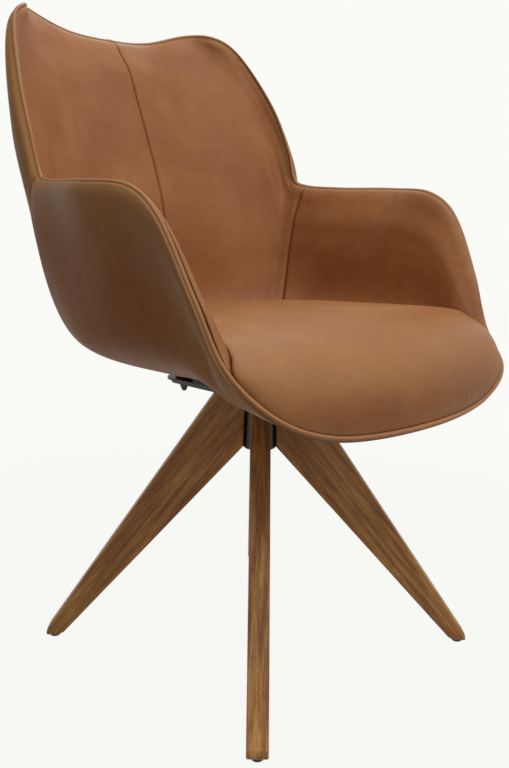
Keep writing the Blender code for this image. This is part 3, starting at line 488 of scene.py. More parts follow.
# %% Outer cover
MILLIMETRE = 0.001
LEATHER_THICKNESS = 1.2 * MILLIMETRE
HEM_PROFILE = (
    (0.86, -1.35), (0.7, -0.95), (0.52, -0.8), (0.38, -1.15), (0.3, -2.2), (0.26, -4.0), (0.26, -6.5),
)
ROLL_BULGE = 0.0018
ARM_ROLL_BULGE = 0.0058
ROLL_PLACE = 0.014
ARM_ROLL_PLACE = 0.019
CREASE_DEPTH = 0.0022
CREASE_WIDTH = 0.007
CREASE_PLACE = rib_at("inner corner") + 0.35
CREASE_TOP = 0.006
CREASE_FOOT = 0.06
CREASE_FADE = 0.05
ARM_START = rib_at("wing foot")
ARM_END = rib_at("arm corner") + 0.6
ARM_FADE = 1.6

cover_u = evenly_round(0, RIBS_ROUND, 0.005)
cover_shares = 1 - (1 - np.linspace(0, 1, 110)) ** 1.25
cover_w = wall_heights(cover_u, 0.0, cover_shares)
U = np.broadcast_to(cover_u[:, None], cover_w.shape)
skin, skin_normals = skin_frame(U, cover_w)

metres_per_u = np.linalg.norm(outer_skin(U + 0.01, cover_w) - outer_skin(U - 0.01, cover_w), axis=-1) / 0.02
drop = below_rim(U, cover_w, skin)
to_crease = (half_turn_place(U) - CREASE_PLACE) * metres_per_u
crease = CREASE_DEPTH * np.exp(-(to_crease / CREASE_WIDTH) ** 2)
crease = crease * ease(drop / CREASE_TOP) * ease((CREASE_FOOT - drop) / CREASE_FADE)
place_round = half_turn_place(U)
arm = ease((place_round - ARM_START) / ARM_FADE) * ease((ARM_END - place_round) / ARM_FADE)
roll_place = ROLL_PLACE + (ARM_ROLL_PLACE - ROLL_PLACE) * arm
roll_bulge = (ROLL_BULGE + (ARM_ROLL_BULGE - ROLL_BULGE) * arm) * (1 - along_front(U))
bulge = roll_bulge * (drop / roll_place) * np.exp(1 - drop / roll_place)
skin = skin + skin_normals * (bulge - crease)[..., None]

along, rise, outward = rim_directions(cover_u)
half_width = rim_half_width(cover_u)[:, None]
hem = [cord_line(cover_u) + outward * (across * half_width) + rise * high * MILLIMETRE
       for across, high in HEM_PROFILE]
cover_places = np.concatenate((skin, np.stack(hem, axis=1)), axis=1)
outer_cover = wrapped("outer_cover_leather", cover_places[None], closed_round=True)

bm = bmesh.new()
bm.from_mesh(outer_cover.data)
facing = sum(face.normal.xy.dot(face.calc_center_median().xy) for face in bm.faces)
if facing < 0:
    bmesh.ops.reverse_faces(bm, faces=bm.faces)
cover_area = sum(face.calc_area() for face in bm.faces)
bmesh.ops.solidify(bm, geom=bm.faces[:], thickness=LEATHER_THICKNESS)
for face in bm.faces:
    face.smooth = True
bm.to_mesh(outer_cover.data)
bm.free()
settle(outer_cover, "leather", "outer_cover")
print("the outer cover takes", round(cover_area, 3), "square metres of leather")

# %% [markdown]
# ## The foam's face
#
# The inside of the bucket is foam under leather. The foam is thin at the rim, where the leather is
# caught with the piping, swells in a roll of two to three centimetres, and then grows to its full
# depth more slowly. Leather can't follow a hollow tighter than its own stretch allows, so the face
# is evened out along the bucket, which leaves the wings as soft hollows instead of folds.

# %% The foam's face, all round
COVER_DEPTH = 0.0031
SHELL_DEPTH = COVER_DEPTH + 0.008
SHELL_RIM_DEPTH = COVER_DEPTH + 0.006
SOFT_AIR = 0.0006
ARM_FOAM = 0.018
BACK_FOAM = 0.025
RIM_EASE = 0.05
FACE_AT_RIM = 0.0088
ROLL_LENGTH = 0.022
BACK_ROLL_LENGTH = 0.034
SWELL_LENGTH = 0.065
WING_SWELL_LENGTH = 0.15
ARM_ROLL_SHARE = 0.40
BACK_ROLL_SHARE = 0.42
WING_ROLL_SHARE = 0.22
FACE_LOWEST = 0.55
FACE_SPACING = 0.004
FACE_SMOOTHING = 70
WING_SMOOTHING = 60
WING_REACH = 1.9
FACE_HELD = 0.003
FACE_EVENED = 0.03
WING_HELD = 0.004
WING_EVENED = 0.02
PADS_END = rib_at("arm foot") - 0.7
PADS_FADE = 1.2
INNER_GROOVE_IN = 0.0026
INNER_GROOVE_DOWN = 0.0006


def front_share(u):
    """1 where pads cover the shell, 0 along the seat's front."""
    return 1 - ease((half_turn_place(u) - PADS_END) / PADS_FADE)


def shell_face(drop):
    """Depth of the shell's inner face at a distance below the rim."""
    return SHELL_RIM_DEPTH + (SHELL_DEPTH - SHELL_RIM_DEPTH) * ease(drop / RIM_EASE)


def inner_groove(u):
    """Where the pads' leather goes in under the piping."""
    _, rise, outward = rim_directions(u)
    return cord_line(u) - outward * INNER_GROOVE_IN - rise * INNER_GROOVE_DOWN


def foam_depth(u, drop):
    """Depth of the pads' faces away from seams."""
    behind = behind_sitter(u)
    foam = ARM_FOAM + (BACK_FOAM - ARM_FOAM) * behind
    full = SHELL_DEPTH + SOFT_AIR + foam * front_share(u)
    wing = ease(half_turn_place(u) / rib_at("wing tip")) * behind
    roll_share = ARM_ROLL_SHARE + (BACK_ROLL_SHARE - ARM_ROLL_SHARE) * behind
    roll_share = roll_share + (WING_ROLL_SHARE - roll_share) * wing
    swell_length = SWELL_LENGTH + (WING_SWELL_LENGTH - SWELL_LENGTH) * wing
    roll_length = ROLL_LENGTH + (BACK_ROLL_LENGTH - ROLL_LENGTH) * behind
    roll = np.sqrt(1 - (1 - np.clip(drop / roll_length, 0, 1)) ** 2)
    rise_in = roll_share * roll + (1 - roll_share) * ease(drop / swell_length)
    return FACE_AT_RIM + (full - FACE_AT_RIM) * rise_in


def smoothed_round(values, weight, times):
    """Even values out along the ring, more where the weight is greater."""
    for _ in range(times):
        mean = 0.25 * np.roll(values, 1, axis=0) + 0.5 * values + 0.25 * np.roll(values, -1, axis=0)
        values = values + (mean - values) * weight
    return values


face_u = evenly_round(0, RIBS_ROUND, FACE_SPACING)[:-1]
FACE_SHARES = 1 - (1 - np.linspace(0, 1, 130)) ** 1.3
face_w = wall_heights(face_u, FACE_LOWEST, FACE_SHARES)
U = np.broadcast_to(face_u[:, None], face_w.shape)
points, normals = skin_frame(U, face_w)
face_drop = below_rim(U, face_w, points)
face = points - normals * foam_depth(U, face_drop)[..., None]
face = smoothed_round(face, ease((face_drop - FACE_HELD) / FACE_EVENED)[..., None], FACE_SMOOTHING)
at_wing = np.exp(-((half_turn_place(U) - rib_at("wing shoulder")) / WING_REACH) ** 2)
at_wing = at_wing * ease((face_drop - WING_HELD) / WING_EVENED)
face = smoothed_round(face, at_wing[..., None], WING_SMOOTHING)
face[:, -1] = inner_groove(face_u)
across = np.roll(face, -1, axis=0) - np.roll(face, 1, axis=0)
face_normals = np.cross(across, np.gradient(face, axis=1))
face_normals /= np.linalg.norm(face_normals, axis=-1, keepdims=True)


def face_at(grid, u, shares):
    """Read a grid of the face at places u and shares of the wall, both one array of one shape."""
    column = np.interp(np.mod(u, RIBS_ROUND), np.append(face_u, RIBS_ROUND), np.arange(len(face_u) + 1))
    row = np.interp(shares, FACE_SHARES, np.arange(len(FACE_SHARES)))
    c, r = np.floor(column).astype(int), np.minimum(np.floor(row).astype(int), len(FACE_SHARES) - 2)
    a, b = column - c, row - r
    if grid.ndim == 3:
        a, b = a[..., None], b[..., None]
    c, after = c % len(face_u), (c + 1) % len(face_u)
    low = grid[c, r] * (1 - a) + grid[after, r] * a
    high = grid[c, r + 1] * (1 - a) + grid[after, r + 1] * a
    return low * (1 - b) + high * b


deepest = float(np.linalg.norm(face - points, axis=-1).max())
print("the foam's face stands", round(deepest / MILLIMETRE), "mm in at most")

# %% [markdown]
# ## Back and arm pads
#
# The inside is sewn from four parts: two back pads that meet in the middle seam, and one pad in
# each arm. Each pad's edge rolls down into the seam beside it, so the seam shows as a thin dark
# valley between two soft lips.

# %% Pads
RUN_PLACES = np.linspace(0, LAST_RIB, 2000)
run_line = cord_line(RUN_PLACES)
RUN_LENGTHS = np.concatenate(([0.0], np.cumsum(np.linalg.norm(np.diff(run_line, axis=0), axis=1))))
SEAM_HALF_GAP = 0.0004
SEAM_DIP = 0.0045
SEAM_ROLL = 0.008
PAD_SPACING = 0.0028
CORNER_PULL = 0.0085
CORNER_PULL_DEPTH = 0.0009
ARM_PULL = 0.0095
ARM_PULL_DEPTH = 0.00035
CORNER_PULL_PLACE = rib_at("inner corner") - 0.15
CORNER_PULL_REACH = 0.45
CORNER_PULL_DROP = 0.011
ARM_PULL_DROP = 0.013
PULL_LENGTH = 0.008
SEAM_START = 0.008
SEAM_FADE = 0.014
PAD_BACK_BELOW_RIM = 0.0042


def rim_pulls(u, drop, run):
    """Small puckers where leather is pulled over the piping: at inner corners and down the arms' fronts."""
    half = half_turn_place(u)
    corner = np.exp(-((half - CORNER_PULL_PLACE) / CORNER_PULL_REACH) ** 2)
    corner = corner * np.exp(-((drop - CORNER_PULL_DROP) / PULL_LENGTH) ** 2)
    slope = ease((half - rib_at("arm corner") - 0.1) / 0.5) * ease((rib_at("arm foot") - half) / 0.5)
    slope = slope * np.exp(-((drop - ARM_PULL_DROP) / PULL_LENGTH) ** 2)
    near = np.sin(2 * pi * (run + 0.35 * drop) / CORNER_PULL) * (0.7 + 0.3 * np.sin(run * 310))
    fine = np.sin(2 * pi * (run + 0.5 * drop) / ARM_PULL) * (0.5 + 0.5 * np.sin(run * 170 + 1.0))
    return CORNER_PULL_DEPTH * corner * near + ARM_PULL_DEPTH * slope * fine


def make_pad(name, start, end, node):
    """One pad between two seams or ends at places start and end."""
    columns = evenly_round(start, end, PAD_SPACING)
    share_up = np.broadcast_to(FACE_SHARES, (len(columns), len(FACE_SHARES)))
    w = wall_heights(columns, FACE_LOWEST, FACE_SHARES)
    u = np.broadcast_to(columns[:, None], w.shape)
    step = 0.02
    ahead, behind = face_at(face, u + step, share_up), face_at(face, u - step, share_up)
    speed = np.linalg.norm(ahead - behind, axis=-1) / (2 * step)
    room = SEAM_HALF_GAP / speed
    u = start + room + (end - start - 2 * room) * ((columns - start) / (end - start))[:, None]
    drop = face_at(face_drop, u, share_up)
    to_seam = np.minimum(u - start, end - u) * speed
    rounding = 1 - np.sqrt(1 - (1 - np.clip(to_seam / SEAM_ROLL, 0, 1)) ** 2)
    dip = SEAM_DIP * rounding * ease((drop - SEAM_START) / SEAM_FADE)
    run = np.interp(half_turn_place(u), RUN_PLACES, RUN_LENGTHS)
    dip = dip + rim_pulls(u, drop, run)
    front = face_at(face, u, share_up) - face_at(face_normals, u, share_up) * dip[..., None]
    wall = np.linalg.norm(cord_line(u) - round_ring(WAIST_RING, u), axis=-1)
    back_w = np.maximum(np.minimum(w, 3 - PAD_BACK_BELOW_RIM / wall), FACE_LOWEST)
    points, normals = skin_frame(u, back_w)
    back = points - normals * (shell_face(below_rim(u, back_w, points)) + SOFT_AIR)[..., None]
    pad = wrapped(name, (back, front))
    settle(pad, "leather", node)
    return pad


back_seam = rib_at("back seam")
arm_end = rib_at("arm foot")
pads = [
    make_pad("back_pad_right_leather", 0.0, back_seam, "back_pad_right"),
    make_pad("back_pad_left_leather", RIBS_ROUND - back_seam, float(RIBS_ROUND), "back_pad_left"),
    make_pad("arm_pad_right_leather", back_seam, arm_end, "arm_pad_right"),
    make_pad("arm_pad_left_leather", RIBS_ROUND - arm_end, RIBS_ROUND - back_seam, "arm_pad_left"),
]

# %% [markdown]
# ## Seat cushion
#
# The cushion is foam in a sewn leather case that fills the bucket between the arms and rolls down
# over the front to the piping. It is crowned: highest in the middle, and drawn in where it meets
# the back and the arms. Its edge runs level along the arms, drops at the arms' front ends, and from
# there on lies against the piping.

# %% Seat cushion
TUCK_HEIGHT = 0.471
SEAT_SLOPE = 0.07
TUCK_DROP = 0.028
SIDE_AIR = 0.0004
FRONT_LIP = 0.0009
CROWN = np.array((0.0, -0.03, 0.487))
CUSHION_ROLL = 0.12
FRONT_CUSHION_ROLL = 0.035
CUSHION_SHOULDER = 0.85
CUSHION_SPREAD = 0.72
FRONT_SETBACK = 0.0004
TOP_SMOOTHING = 60
TOP_HELD = 0.03
TUCK_FALLS = rib_at("arm slope") - 0.1
TUCK_FADE = 1.1
LIP_DROP = 0.006
LIP_FADE = 0.005
FLAT_SHARE = 0.55

cushion_u = evenly_round(0, RIBS_ROUND, 0.005)
up_the_wall = np.linspace(0, 1, 600)
tuck_heights = TUCK_HEIGHT - TUCK_DROP * ease((half_turn_place(cushion_u) - TUCK_FALLS) / TUCK_FADE)


def cushion_edge(place, tuck_height):
    """Share of the wall where the cushion tucks in against the pads, or stops below the rim in front."""
    u = np.full_like(up_the_wall, place)
    there = face_at(face, u, up_the_wall)
    over = there[:, 2] + SEAT_SLOPE * there[:, 1] - tuck_height
    crossing = np.nonzero((over[:-1] <= 0) & (over[1:] > 0))[0]
    highest = up_the_wall[np.nonzero(face_at(face_drop, u, up_the_wall) > FRONT_SETBACK)[0][-1]]
    if len(crossing):
        k = crossing[0]
        step = up_the_wall[k + 1] - up_the_wall[k]
        return min(up_the_wall[k] - over[k] / (over[k + 1] - over[k]) * step, highest)
    return highest


edge_share = np.array([cushion_edge(*pair) for pair in zip(cushion_u, tuck_heights)])
edge_share = np.minimum(edge_share, smoothed_round(edge_share, 1.0, 6))
side_share = edge_share[:, None] * np.linspace(0, 1, 34)
U = np.broadcast_to(cushion_u[:, None], side_share.shape)
lip = along_front(U) * ease((LIP_DROP - face_at(face_drop, U, side_share)) / LIP_FADE)
side_air = SIDE_AIR - FRONT_LIP * lip
sides = face_at(face, U, side_share) + face_at(face_normals, U, side_share) * side_air[..., None]

edge = sides[:, -1]
plan = edge - CROWN
plan[:, 2] = 0
height = (CROWN[2] - edge[:, 2])[:, None]
unit = plan / np.linalg.norm(plan, axis=1, keepdims=True)
roll = CUSHION_ROLL + (FRONT_CUSHION_ROLL - CUSHION_ROLL) * along_front(cushion_u)[:, None]
first = edge + unit * height * roll + np.array((0, 0, 1)) * height * CUSHION_SHOULDER
second = CROWN + plan * CUSHION_SPREAD
second[:, 2] -= SEAT_SLOPE * (second[:, 1] - CROWN[1])
top_share = (np.linspace(0, 1, 90) ** 1.25)[1:, None, None]
rest = 1 - top_share
top = (edge * rest ** 3 + first * 3 * rest ** 2 * top_share
       + second * 3 * rest * top_share ** 2 + CROWN * top_share ** 3)
top = top.transpose(1, 0, 2)
to_edge = np.linalg.norm(top - edge[:, None], axis=-1)
top = smoothed_round(top[:-1], ease(to_edge[:-1] / TOP_HELD)[..., None], TOP_SMOOTHING)
top = np.concatenate((top, top[:1]))

floor_height = PAN_HEIGHT + SHELL_DEPTH + SIDE_AIR
inward = np.linspace(0, 1, 16)[:-1, None]
lowest = sides[:, :1]
floor_rows = lowest * inward[None]
rises = ease((inward[None, :, 0] - FLAT_SHARE) / (1 - FLAT_SHARE))
floor_rows[..., 2] = floor_height + (lowest[..., 2] - floor_height) * rises
cushion_places = np.concatenate((floor_rows, sides, top), axis=1)
cushion = wrapped("seat_cushion_leather", cushion_places[None], closed_round=True)
settle(cushion, "leather", "seat_cushion")
print("crown of the cushion at", round(float(top[..., 2].max()), 3), "m")

# %% [markdown]
# ## Piping
#
# A cord of about five millimetres, wrapped in the same leather, closes the rim between the outer
# cover and the pads. On both sides its wrapping runs down into the grooves as a welt. It is one
# length, and its two ends meet at the top of the back, where it is a little thicker.

# %% Piping
CORD_RADIUS = 0.0024
JOINT_PLACE = -0.004
JOINT_LENGTH = 0.006
JOINT_SWELL = 0.35
WELT_ANGLES = (radians(208), radians(328))
WELT_SWELLS = (0.5, 0.3)
WELT_SHARPNESS = 6
cord_u = evenly_round(0, RIBS_ROUND, 0.003)
turns = np.linspace(0, 2 * pi, 25)
along, rise, outward = rim_directions(cord_u)
centre = cord_line(cord_u)
joint = np.exp(-((centre[:, 0] - JOINT_PLACE) / JOINT_LENGTH) ** 4) * (centre[:, 1] > 0)
welt = sum(swell * np.maximum(np.cos(turns - angle), 0) ** WELT_SHARPNESS
           for angle, swell in zip(WELT_ANGLES, WELT_SWELLS))
radius = (CORD_RADIUS * (1 + JOINT_SWELL * joint[:, None]) * (1 + welt))[:, :, None]
tube = centre[:, None] + radius * (outward[:, None] * np.cos(turns)[None, :, None]
                                   + rise[:, None] * np.sin(turns)[None, :, None])
piping = wrapped("rim_piping_leather", tube[None], closed_round=True)
settle(piping, "piping", "rim_piping")

# %% [markdown]
# ## Full-grain leather
#
# The leather is full-grain cowhide, drum-dyed brown and finished with wax. Three things make it
# look like hide and not like plastic. The dye sits unevenly, so the brown wanders between a cooler
# and a warmer tone over a few centimetres. The grain is a net of small cells, about two millimetres
# across, that is crisp in some places and stretched smooth in others. And wax and touch polish the
# raised edges, which turn lighter. On top of that, light and shade are painted into the colour:
# painted light makes a band under the rim and the cushion's top lighter, and painted shade darkens
# the grooves, the tucks and the seams, where the seams also have their own dark line. These follow
# the pieces, so each one carries a value for wear and painted light and one for painted shade. The
# outside of the bucket has had less wax and is duller than the inside.

# %% Leather
GRAIN_CELL = 1.9 * MILLIMETRE
DYE_CLOUD = 120 * MILLIMETRE
DYE_FLECK = 16 * MILLIMETRE
PATINA_PATCH = 90 * MILLIMETRE
PULL_WRINKLE = 20 * MILLIMETRE
FINE_GRAIN = 0.16 * MILLIMETRE
PIPING_GRAIN = 0.08 * MILLIMETRE


def new_material(name):
    made = bpy.data.materials.new(name)
    made.use_nodes = True
    made.node_tree.nodes.clear()
    return made, made.node_tree


def blend(tree, share, first, second, kind="MIX"):
    """Two colours mixed by a share; each is a hex colour or a socket."""
    mixed = add(tree, "ShaderNodeMix", {"data_type": "RGBA", "blend_type": kind, "clamp_factor": True})
    for number, value in ((0, share), (6, first), (7, second)):
        if isinstance(value, bpy.types.NodeSocket):
            tree.links.new(value, mixed.inputs[number])
        else:
            mixed.inputs[number].default_value = linear(value) if isinstance(value, str) else value
    return mixed.outputs[2]


def make_leather(name, base, warm, worn_and_lit_tone, dark, grain_height=FINE_GRAIN, wax=0.22):
    leather, tree = new_material(name)
    place = add(tree, "ShaderNodeTexCoord").outputs["Object"]
    # Two values per vertex: one for wear and painted light, one for painted shade in seams, grooves and
    # tucks.
    wear_and_painted_light = add(tree, "ShaderNodeAttribute", {"attribute_name": "wear_and_painted_light"}).outputs["Fac"]
    seam_and_groove_shade = add(tree, "ShaderNodeAttribute", {"attribute_name": "seam_and_groove_shade"}).outputs["Fac"]

    clouds = add(tree, "ShaderNodeTexNoise", Vector=place, Scale=1 / DYE_CLOUD, Detail=5.0, Roughness=0.55,
                 Distortion=0.4).outputs["Fac"]
    clouds = add(tree, "ShaderNodeMapRange", {"interpolation_type": "SMOOTHSTEP"},
                 Value=clouds, From_Min=0.36, From_Max=0.66).outputs[0]
    flecks = add(tree, "ShaderNodeTexNoise", Vector=place, Scale=1 / DYE_FLECK, Detail=8.0,
                 Roughness=0.65).outputs["Fac"]
    flecks = add(tree, "ShaderNodeMapRange", Value=flecks,
                 From_Min=0.40, From_Max=0.74, To_Max=0.22).outputs[0]
    cells = add(tree, "ShaderNodeTexVoronoi", {"feature": "SMOOTH_F1"}, Vector=place, Scale=1 / GRAIN_CELL,
                Smoothness=0.35, Randomness=0.95).outputs["Distance"]
    crisp = add(tree, "ShaderNodeTexNoise", Vector=place, Scale=9.0, Detail=3.0).outputs["Fac"]
    crisp = add(tree, "ShaderNodeMapRange", {"interpolation_type": "SMOOTHSTEP"},
                Value=crisp, From_Min=0.4, From_Max=0.62, To_Min=0.25).outputs[0]

    colour = blend(tree, clouds, base, warm)
    colour = blend(tree, flecks, colour, dark)
    patina = add(tree, "ShaderNodeTexNoise", Vector=place, Scale=1 / PATINA_PATCH, Detail=6.0,
                 Roughness=0.6).outputs["Fac"]
    patina = add(tree, "ShaderNodeMapRange", {"interpolation_type": "SMOOTHSTEP"},
                 Value=patina, From_Min=0.4, From_Max=0.75, To_Max=0.2).outputs[0]
    colour = blend(tree, patina, colour, worn_and_lit_tone)
    pores = add(tree, "ShaderNodeMapRange", Value=cells,
                From_Min=0.35, From_Max=0.75, To_Max=0.2).outputs[0]
    colour = blend(tree, product(tree, pores, crisp), colour, dark)
    # Wear and painted light: rubbed edges and the piping turn lighter, and painted light brightens a band
    # under the rim and the cushion's top.
    colour = blend(tree, product(tree, wear_and_painted_light, 0.6), colour, worn_and_lit_tone)
    # Painted shade: grooves, tucks and sewn seams darken towards a dark brown; at the seams this is also
    # the seam's own dark line.
    colour = blend(tree, product(tree, seam_and_groove_shade, 0.6), colour, "4A2814")

    gloss = add(tree, "ShaderNodeMapRange", Value=clouds, To_Min=0.50, To_Max=0.56).outputs[0]
    smoother = product(tree, wear_and_painted_light, 0.06)
    gloss = add(tree, "ShaderNodeMath", {"operation": "SUBTRACT"}, in_0=gloss, in_1=smoother).outputs[0]

    net = product(tree, cells, crisp)
    grain = add(tree, "ShaderNodeBump", {"invert": True}, Strength=0.4, Distance=grain_height * 4,
                Height=net).outputs[0]
    pulls = add(tree, "ShaderNodeTexNoise", Vector=place, Scale=1 / PULL_WRINKLE, Detail=4.0,
                Distortion=0.8).outputs["Fac"]
    wrinkles = add(tree, "ShaderNodeBump", Strength=0.35, Distance=0.0018, Height=pulls,
                   Normal=grain).outputs[0]
    body = add(tree, "ShaderNodeBsdfPrincipled", Base_Color=colour, Roughness=gloss, Normal=wrinkles)
    body.inputs["Specular IOR Level"].default_value = wax
    add(tree, "ShaderNodeOutputMaterial", Surface=body.outputs[0])
    return leather


HIDE_TONES = ("915830", "9D6437", "B78B5B", "6E3D1C")
PIPING_TONES = ("9A6038", "A66C40", "BC8B5C", "74411F")
hide = make_leather("waxed full-grain brown cowhide", *HIDE_TONES)
outside_hide = make_leather("matt full-grain brown cowhide", *HIDE_TONES, wax=0.1)
piping_hide = make_leather("waxed cowhide over piping cord", *PIPING_TONES, grain_height=PIPING_GRAIN)


def nearness(points, line, reach):
    """1 on a line of points, falling off smoothly over its reach."""
    tree = KDTree(len(line))
    for index, place in enumerate(line):
        tree.insert(place, index)
    tree.balance()
    far = np.array([tree.find(point)[2] for point in points])
    return np.exp(-(far / reach) ** 2)


OUTER_GROOVE_OUT = 0.0024
OUTER_GROOVE_DOWN = 0.0014
# Reaches of the painted shade: in the seams' grooves, under the piping, in the cover's groove, beside the
# piping and where the cushion tucks in.
SEAM_SHADE_REACH = 1.3 * MILLIMETRE
GROOVE_SHADE_REACH = 1.2 * MILLIMETRE
COVER_GROOVE_SHADE_REACH = 2.6 * MILLIMETRE
PIPING_SHADE_REACH = 1 * MILLIMETRE
TUCK_SHADE_REACH = 3 * MILLIMETRE
# Reaches of the lighter marks: wear on the seams' lips, wear and painted light along the pads' rims, wear
# along the cushion's tuck, painted light under the cover's rim.
LIP_WEAR = 5 * MILLIMETRE
PAD_RIM_WEAR_AND_LIGHT = 13 * MILLIMETRE
TUCK_WEAR = 16 * MILLIMETRE
COVER_RIM_LIGHT_REACH = 46 * MILLIMETRE
# The cushion's top is painted lighter above this height: painted light, together with its wear from
# sitting.
SEAT_WEAR_AND_LIGHT_STARTS = 0.385
SEAT_WEAR_AND_LIGHT_FADE = 0.06

seam_shares = np.linspace(0.1, 0.978, 300)
seam_lines = np.concatenate([face_at(face, np.full_like(seam_shares, place), seam_shares)
                             for place in (0.0, back_seam, RIBS_ROUND - back_seam)])
tuck_line = sides[:, -1]
side_tuck = tuck_line[half_turn_place(cushion_u) < rib_at("arm foot")]
fine_round = evenly_round(0, RIBS_ROUND, 0.002)
along, rise, outward = rim_directions(fine_round)
inner_line = inner_groove(fine_round)
outer_line = cord_line(fine_round) + outward * OUTER_GROOVE_OUT - rise * OUTER_GROOVE_DOWN
front_edge = inner_line[half_turn_place(fine_round) > rib_at("arm slope")]


# Painted shade on the pads: along the sewn seams, in the groove under the piping and where the cushion
# tucks in.
def pad_painted_shade(points):
    dark = nearness(points, seam_lines, SEAM_SHADE_REACH)
    dark = np.maximum(dark, nearness(points, inner_line, GROOVE_SHADE_REACH) * 0.8)
    return np.maximum(dark, nearness(points, tuck_line, TUCK_SHADE_REACH) * 0.9)


# Wear on the seams' lips, and painted light together with rub-wear in a band along the pads' rim.
def pad_wear_and_light(points):
    lips = nearness(points, seam_lines, LIP_WEAR) * 0.12
    return np.maximum(lips, nearness(points, rim_line, PAD_RIM_WEAR_AND_LIGHT) * 0.5)


# Painted shade on the cushion where it tucks against the pads and along its front groove at the piping.
def cushion_painted_shade(points):
    in_front = nearness(points, front_edge, GROOVE_SHADE_REACH) * 0.5
    return np.maximum(nearness(points, side_tuck, TUCK_SHADE_REACH), in_front)


# Wear along the tuck line, and the cushion's top painted lighter above a given height: painted light
# together with sitting wear.
def cushion_wear_and_light(points):
    sat_on_and_lit = ease((points[:, 2] - SEAT_WEAR_AND_LIGHT_STARTS) / SEAT_WEAR_AND_LIGHT_FADE)
    return np.maximum(nearness(points, tuck_line, TUCK_WEAR) * 0.3, sat_on_and_lit * 0.38)


# Painted shade in the outer cover's groove under the piping.
def cover_painted_shade(points):
    return nearness(points, outer_line, COVER_GROOVE_SHADE_REACH) * 0.7


# Painted light in a band some five centimetres deep under the rim, with rub-wear at the rim itself.
def cover_wear_and_light(points):
    return nearness(points, rim_line, COVER_RIM_LIGHT_REACH) * 0.8


# Painted shade where the piping meets the pads and the outer cover.
def piping_painted_shade(points):
    return np.maximum(nearness(points, inner_line, PIPING_SHADE_REACH), nearness(points, outer_line, PIPING_SHADE_REACH))


def piping_wear(points):
    return np.full(len(points), 0.6)


dressings = [(pad, hide, pad_painted_shade, pad_wear_and_light) for pad in pads] + [
    (cushion, hide, cushion_painted_shade, cushion_wear_and_light),
    (outer_cover, outside_hide, cover_painted_shade, cover_wear_and_light),
    (piping, piping_hide, piping_painted_shade, piping_wear),
]
# Each piece gets its painted shade and its wear and painted light as two values per vertex.
for piece, leather, painted_shade_at, wear_and_light_at in dressings:
    paint(piece, "seam_and_groove_shade", painted_shade_at)
    paint(piece, "wear_and_painted_light", wear_and_light_at)
    piece.data.materials.append(leather)
print(len(dressings), "soft pieces have their leather")

# %% [markdown]
# ## Oiled oak
#
# The legs are solid oak boards, sawn so that the grain runs down each blade, and finished with a
# brown oil. Oil sinks into the open pores, so the growth rings show as long dark lines with short
# dashes between them, and the surface stays satin. The four legs are the same material, but each
# has the grain turned along its own blade.

# %% Oak
RING_WIDTH = 7 * MILLIMETRE
PORE_WIDTH = 0.7 * MILLIMETRE
LEG_LEAN = radians(38.8)


def make_oak(name, bearing):
    oak, tree = new_material(name)
    place = add(tree, "ShaderNodeTexCoord").outputs["Object"]
    level = add(tree, "ShaderNodeMapping", Vector=place, Rotation=(0, 0, -bearing)).outputs[0]
    blade = add(tree, "ShaderNodeMapping", Vector=level, Rotation=(0, LEG_LEAN, 0)).outputs[0]

    stretched = add(tree, "ShaderNodeMapping", Vector=blade, Scale=(1.0, 1.0, 0.055)).outputs[0]
    wander = add(tree, "ShaderNodeTexNoise", Vector=stretched, Scale=18.0, Detail=4.0,
                 Roughness=0.5).outputs["Color"]
    bent = add(tree, "ShaderNodeMix", {"data_type": "VECTOR"}, Factor=0.012)
    tree.links.new(stretched, bent.inputs[4])
    tree.links.new(wander, bent.inputs[5])
    rings = add(tree, "ShaderNodeTexNoise", Vector=bent.outputs[1], Scale=1 / RING_WIDTH, Detail=6.0,
                Roughness=0.62).outputs["Fac"]
    rings = add(tree, "ShaderNodeMapRange", {"interpolation_type": "SMOOTHSTEP"}, Value=rings,
                From_Min=0.34, From_Max=0.64).outputs[0]
    fine = add(tree, "ShaderNodeMapping", Vector=blade, Scale=(1.0, 1.0, 0.03)).outputs[0]
    pores = add(tree, "ShaderNodeTexNoise", Vector=fine, Scale=1 / PORE_WIDTH, Detail=2.0).outputs["Fac"]
    pores = add(tree, "ShaderNodeMapRange", Value=pores, From_Min=0.56, From_Max=0.68).outputs[0]
    board = add(tree, "ShaderNodeTexNoise", Vector=stretched, Scale=9.0, Detail=2.0).outputs["Fac"]

    colour = blend(tree, rings, "9A6432", "D6A560")
    colour = blend(tree, board, colour, blend(tree, 0.5, "8A5C2E", "B28A58"), "SOFT_LIGHT")
    colour = blend(tree, product(tree, pores, 0.7), colour, "4E2F16")
    gloss = add(tree, "ShaderNodeMapRange", Value=rings, To_Min=0.56, To_Max=0.42).outputs[0]
    relief = add(tree, "ShaderNodeBump", {"invert": True}, Strength=0.5, Distance=0.0002,
                 Height=pores).outputs[0]
    body = add(tree, "ShaderNodeBsdfPrincipled", Base_Color=colour, Roughness=gloss, Normal=relief)
    add(tree, "ShaderNodeOutputMaterial", Surface=body.outputs[0])
    return oak


LEG_BEARINGS = {
    "front_left": radians(225),
    "front_right": radians(315),
    "rear_left": radians(135),
    "rear_right": radians(45),
}
finishes = {"leg_" + corner: make_oak("oiled oak, %s leg" % corner.replace("_", " "), bearing)
            for corner, bearing in LEG_BEARINGS.items()}

# %% [markdown]
# ## Metal, plastic and rubber
#
# The hub and the plates are steel with a baked black powder coat: dark, softly glossy, with the
# faint orange-peel waviness that powder leaves. Bolts, studs and spindle are zinc-plated steel, and
# the inserts in the legs are turned brass. Glides, hub cap and bushes are moulded plastic, and the
# spacers are rubber.

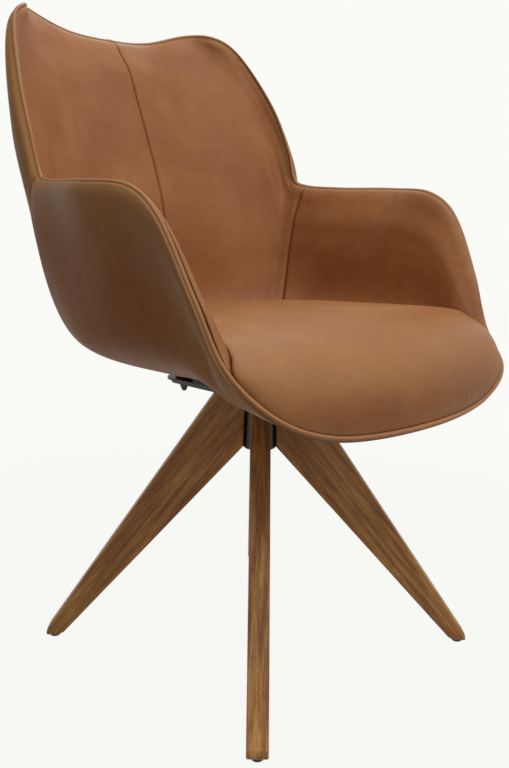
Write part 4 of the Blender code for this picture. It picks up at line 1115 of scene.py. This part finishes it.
# %% Metal, plastic and rubber
def make_plain(name, colour, second, roughness, metallic, bump_size, bump_height, spread=0.08):
    """A finish with two close tones, an uneven gloss and a fine relief of a real size."""
    made, tree = new_material(name)
    place = add(tree, "ShaderNodeTexCoord").outputs["Object"]
    tone = add(tree, "ShaderNodeTexNoise", Vector=place, Scale=40.0, Detail=6.0).outputs["Fac"]
    gloss = add(tree, "ShaderNodeMapRange", Value=tone,
                To_Min=roughness - spread, To_Max=roughness + spread).outputs[0]
    peel = add(tree, "ShaderNodeTexNoise", Vector=place, Scale=1 / bump_size, Detail=2.0).outputs["Fac"]
    relief = add(tree, "ShaderNodeBump", Strength=0.4, Distance=bump_height, Height=peel).outputs[0]
    mixed = blend(tree, tone, colour, second)
    body = add(tree, "ShaderNodeBsdfPrincipled", Base_Color=mixed, Roughness=gloss, Normal=relief)
    body.inputs["Metallic"].default_value = metallic
    add(tree, "ShaderNodeOutputMaterial", Surface=body.outputs[0])
    return made


powder_coat = make_plain("black powder-coated steel", "141415", "1B1B1C", roughness=0.36, metallic=0.0,
                         bump_size=1.2 * MILLIMETRE, bump_height=0.0001)
zinc = make_plain("zinc-plated steel", "A9AAA8", "BDBDB8", roughness=0.34, metallic=1.0,
                  bump_size=0.4 * MILLIMETRE, bump_height=0.00003)
turned_brass = make_plain("turned brass", "B4914A", "C6A45C", roughness=0.3, metallic=1.0,
                          bump_size=0.3 * MILLIMETRE, bump_height=0.00003)
nylon = make_plain("moulded nylon", "CFCAC0", "D9D4CA", roughness=0.5, metallic=0.0,
                   bump_size=0.6 * MILLIMETRE, bump_height=0.00004)
black_plastic = make_plain("moulded black polypropylene", "18181A", "202022", roughness=0.5, metallic=0.0,
                           bump_size=0.5 * MILLIMETRE, bump_height=0.00006)
rubber = make_plain("black rubber", "161616", "1D1C1B", roughness=0.75, metallic=0.0,
                    bump_size=0.5 * MILLIMETRE, bump_height=0.00008)
moulded_shell = make_plain("moulded polypropylene shell", "2A2928", "333130", roughness=0.6, metallic=0.0,
                           bump_size=0.8 * MILLIMETRE, bump_height=0.00008)

FINISH_OF = {
    "glide": black_plastic, "hub_cap": black_plastic, "hub": powder_coat,
    "leg_bolt": zinc, "insert": turned_brass, "upper_bush": nylon, "lower_bush": nylon,
    "thrust_washer": zinc, "spindle": zinc, "retaining_clip": zinc,
    "seat_plate": powder_coat, "brace_plate": powder_coat, "domed_nut": powder_coat,
    "stud": zinc, "spacer": rubber, "seat_shell": moulded_shell,
}
dressed = 0
for node_name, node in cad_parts.items():
    start = max((key for key in FINISH_OF if node_name.startswith(key)), key=len, default=None)
    finish = finishes.get(node_name) or (FINISH_OF[start] if start else None)
    if finish is None:
        continue
    for slot in node.material_slots:
        slot.material = finish
    dressed += 1
print(dressed, "CAD nodes have their finish")
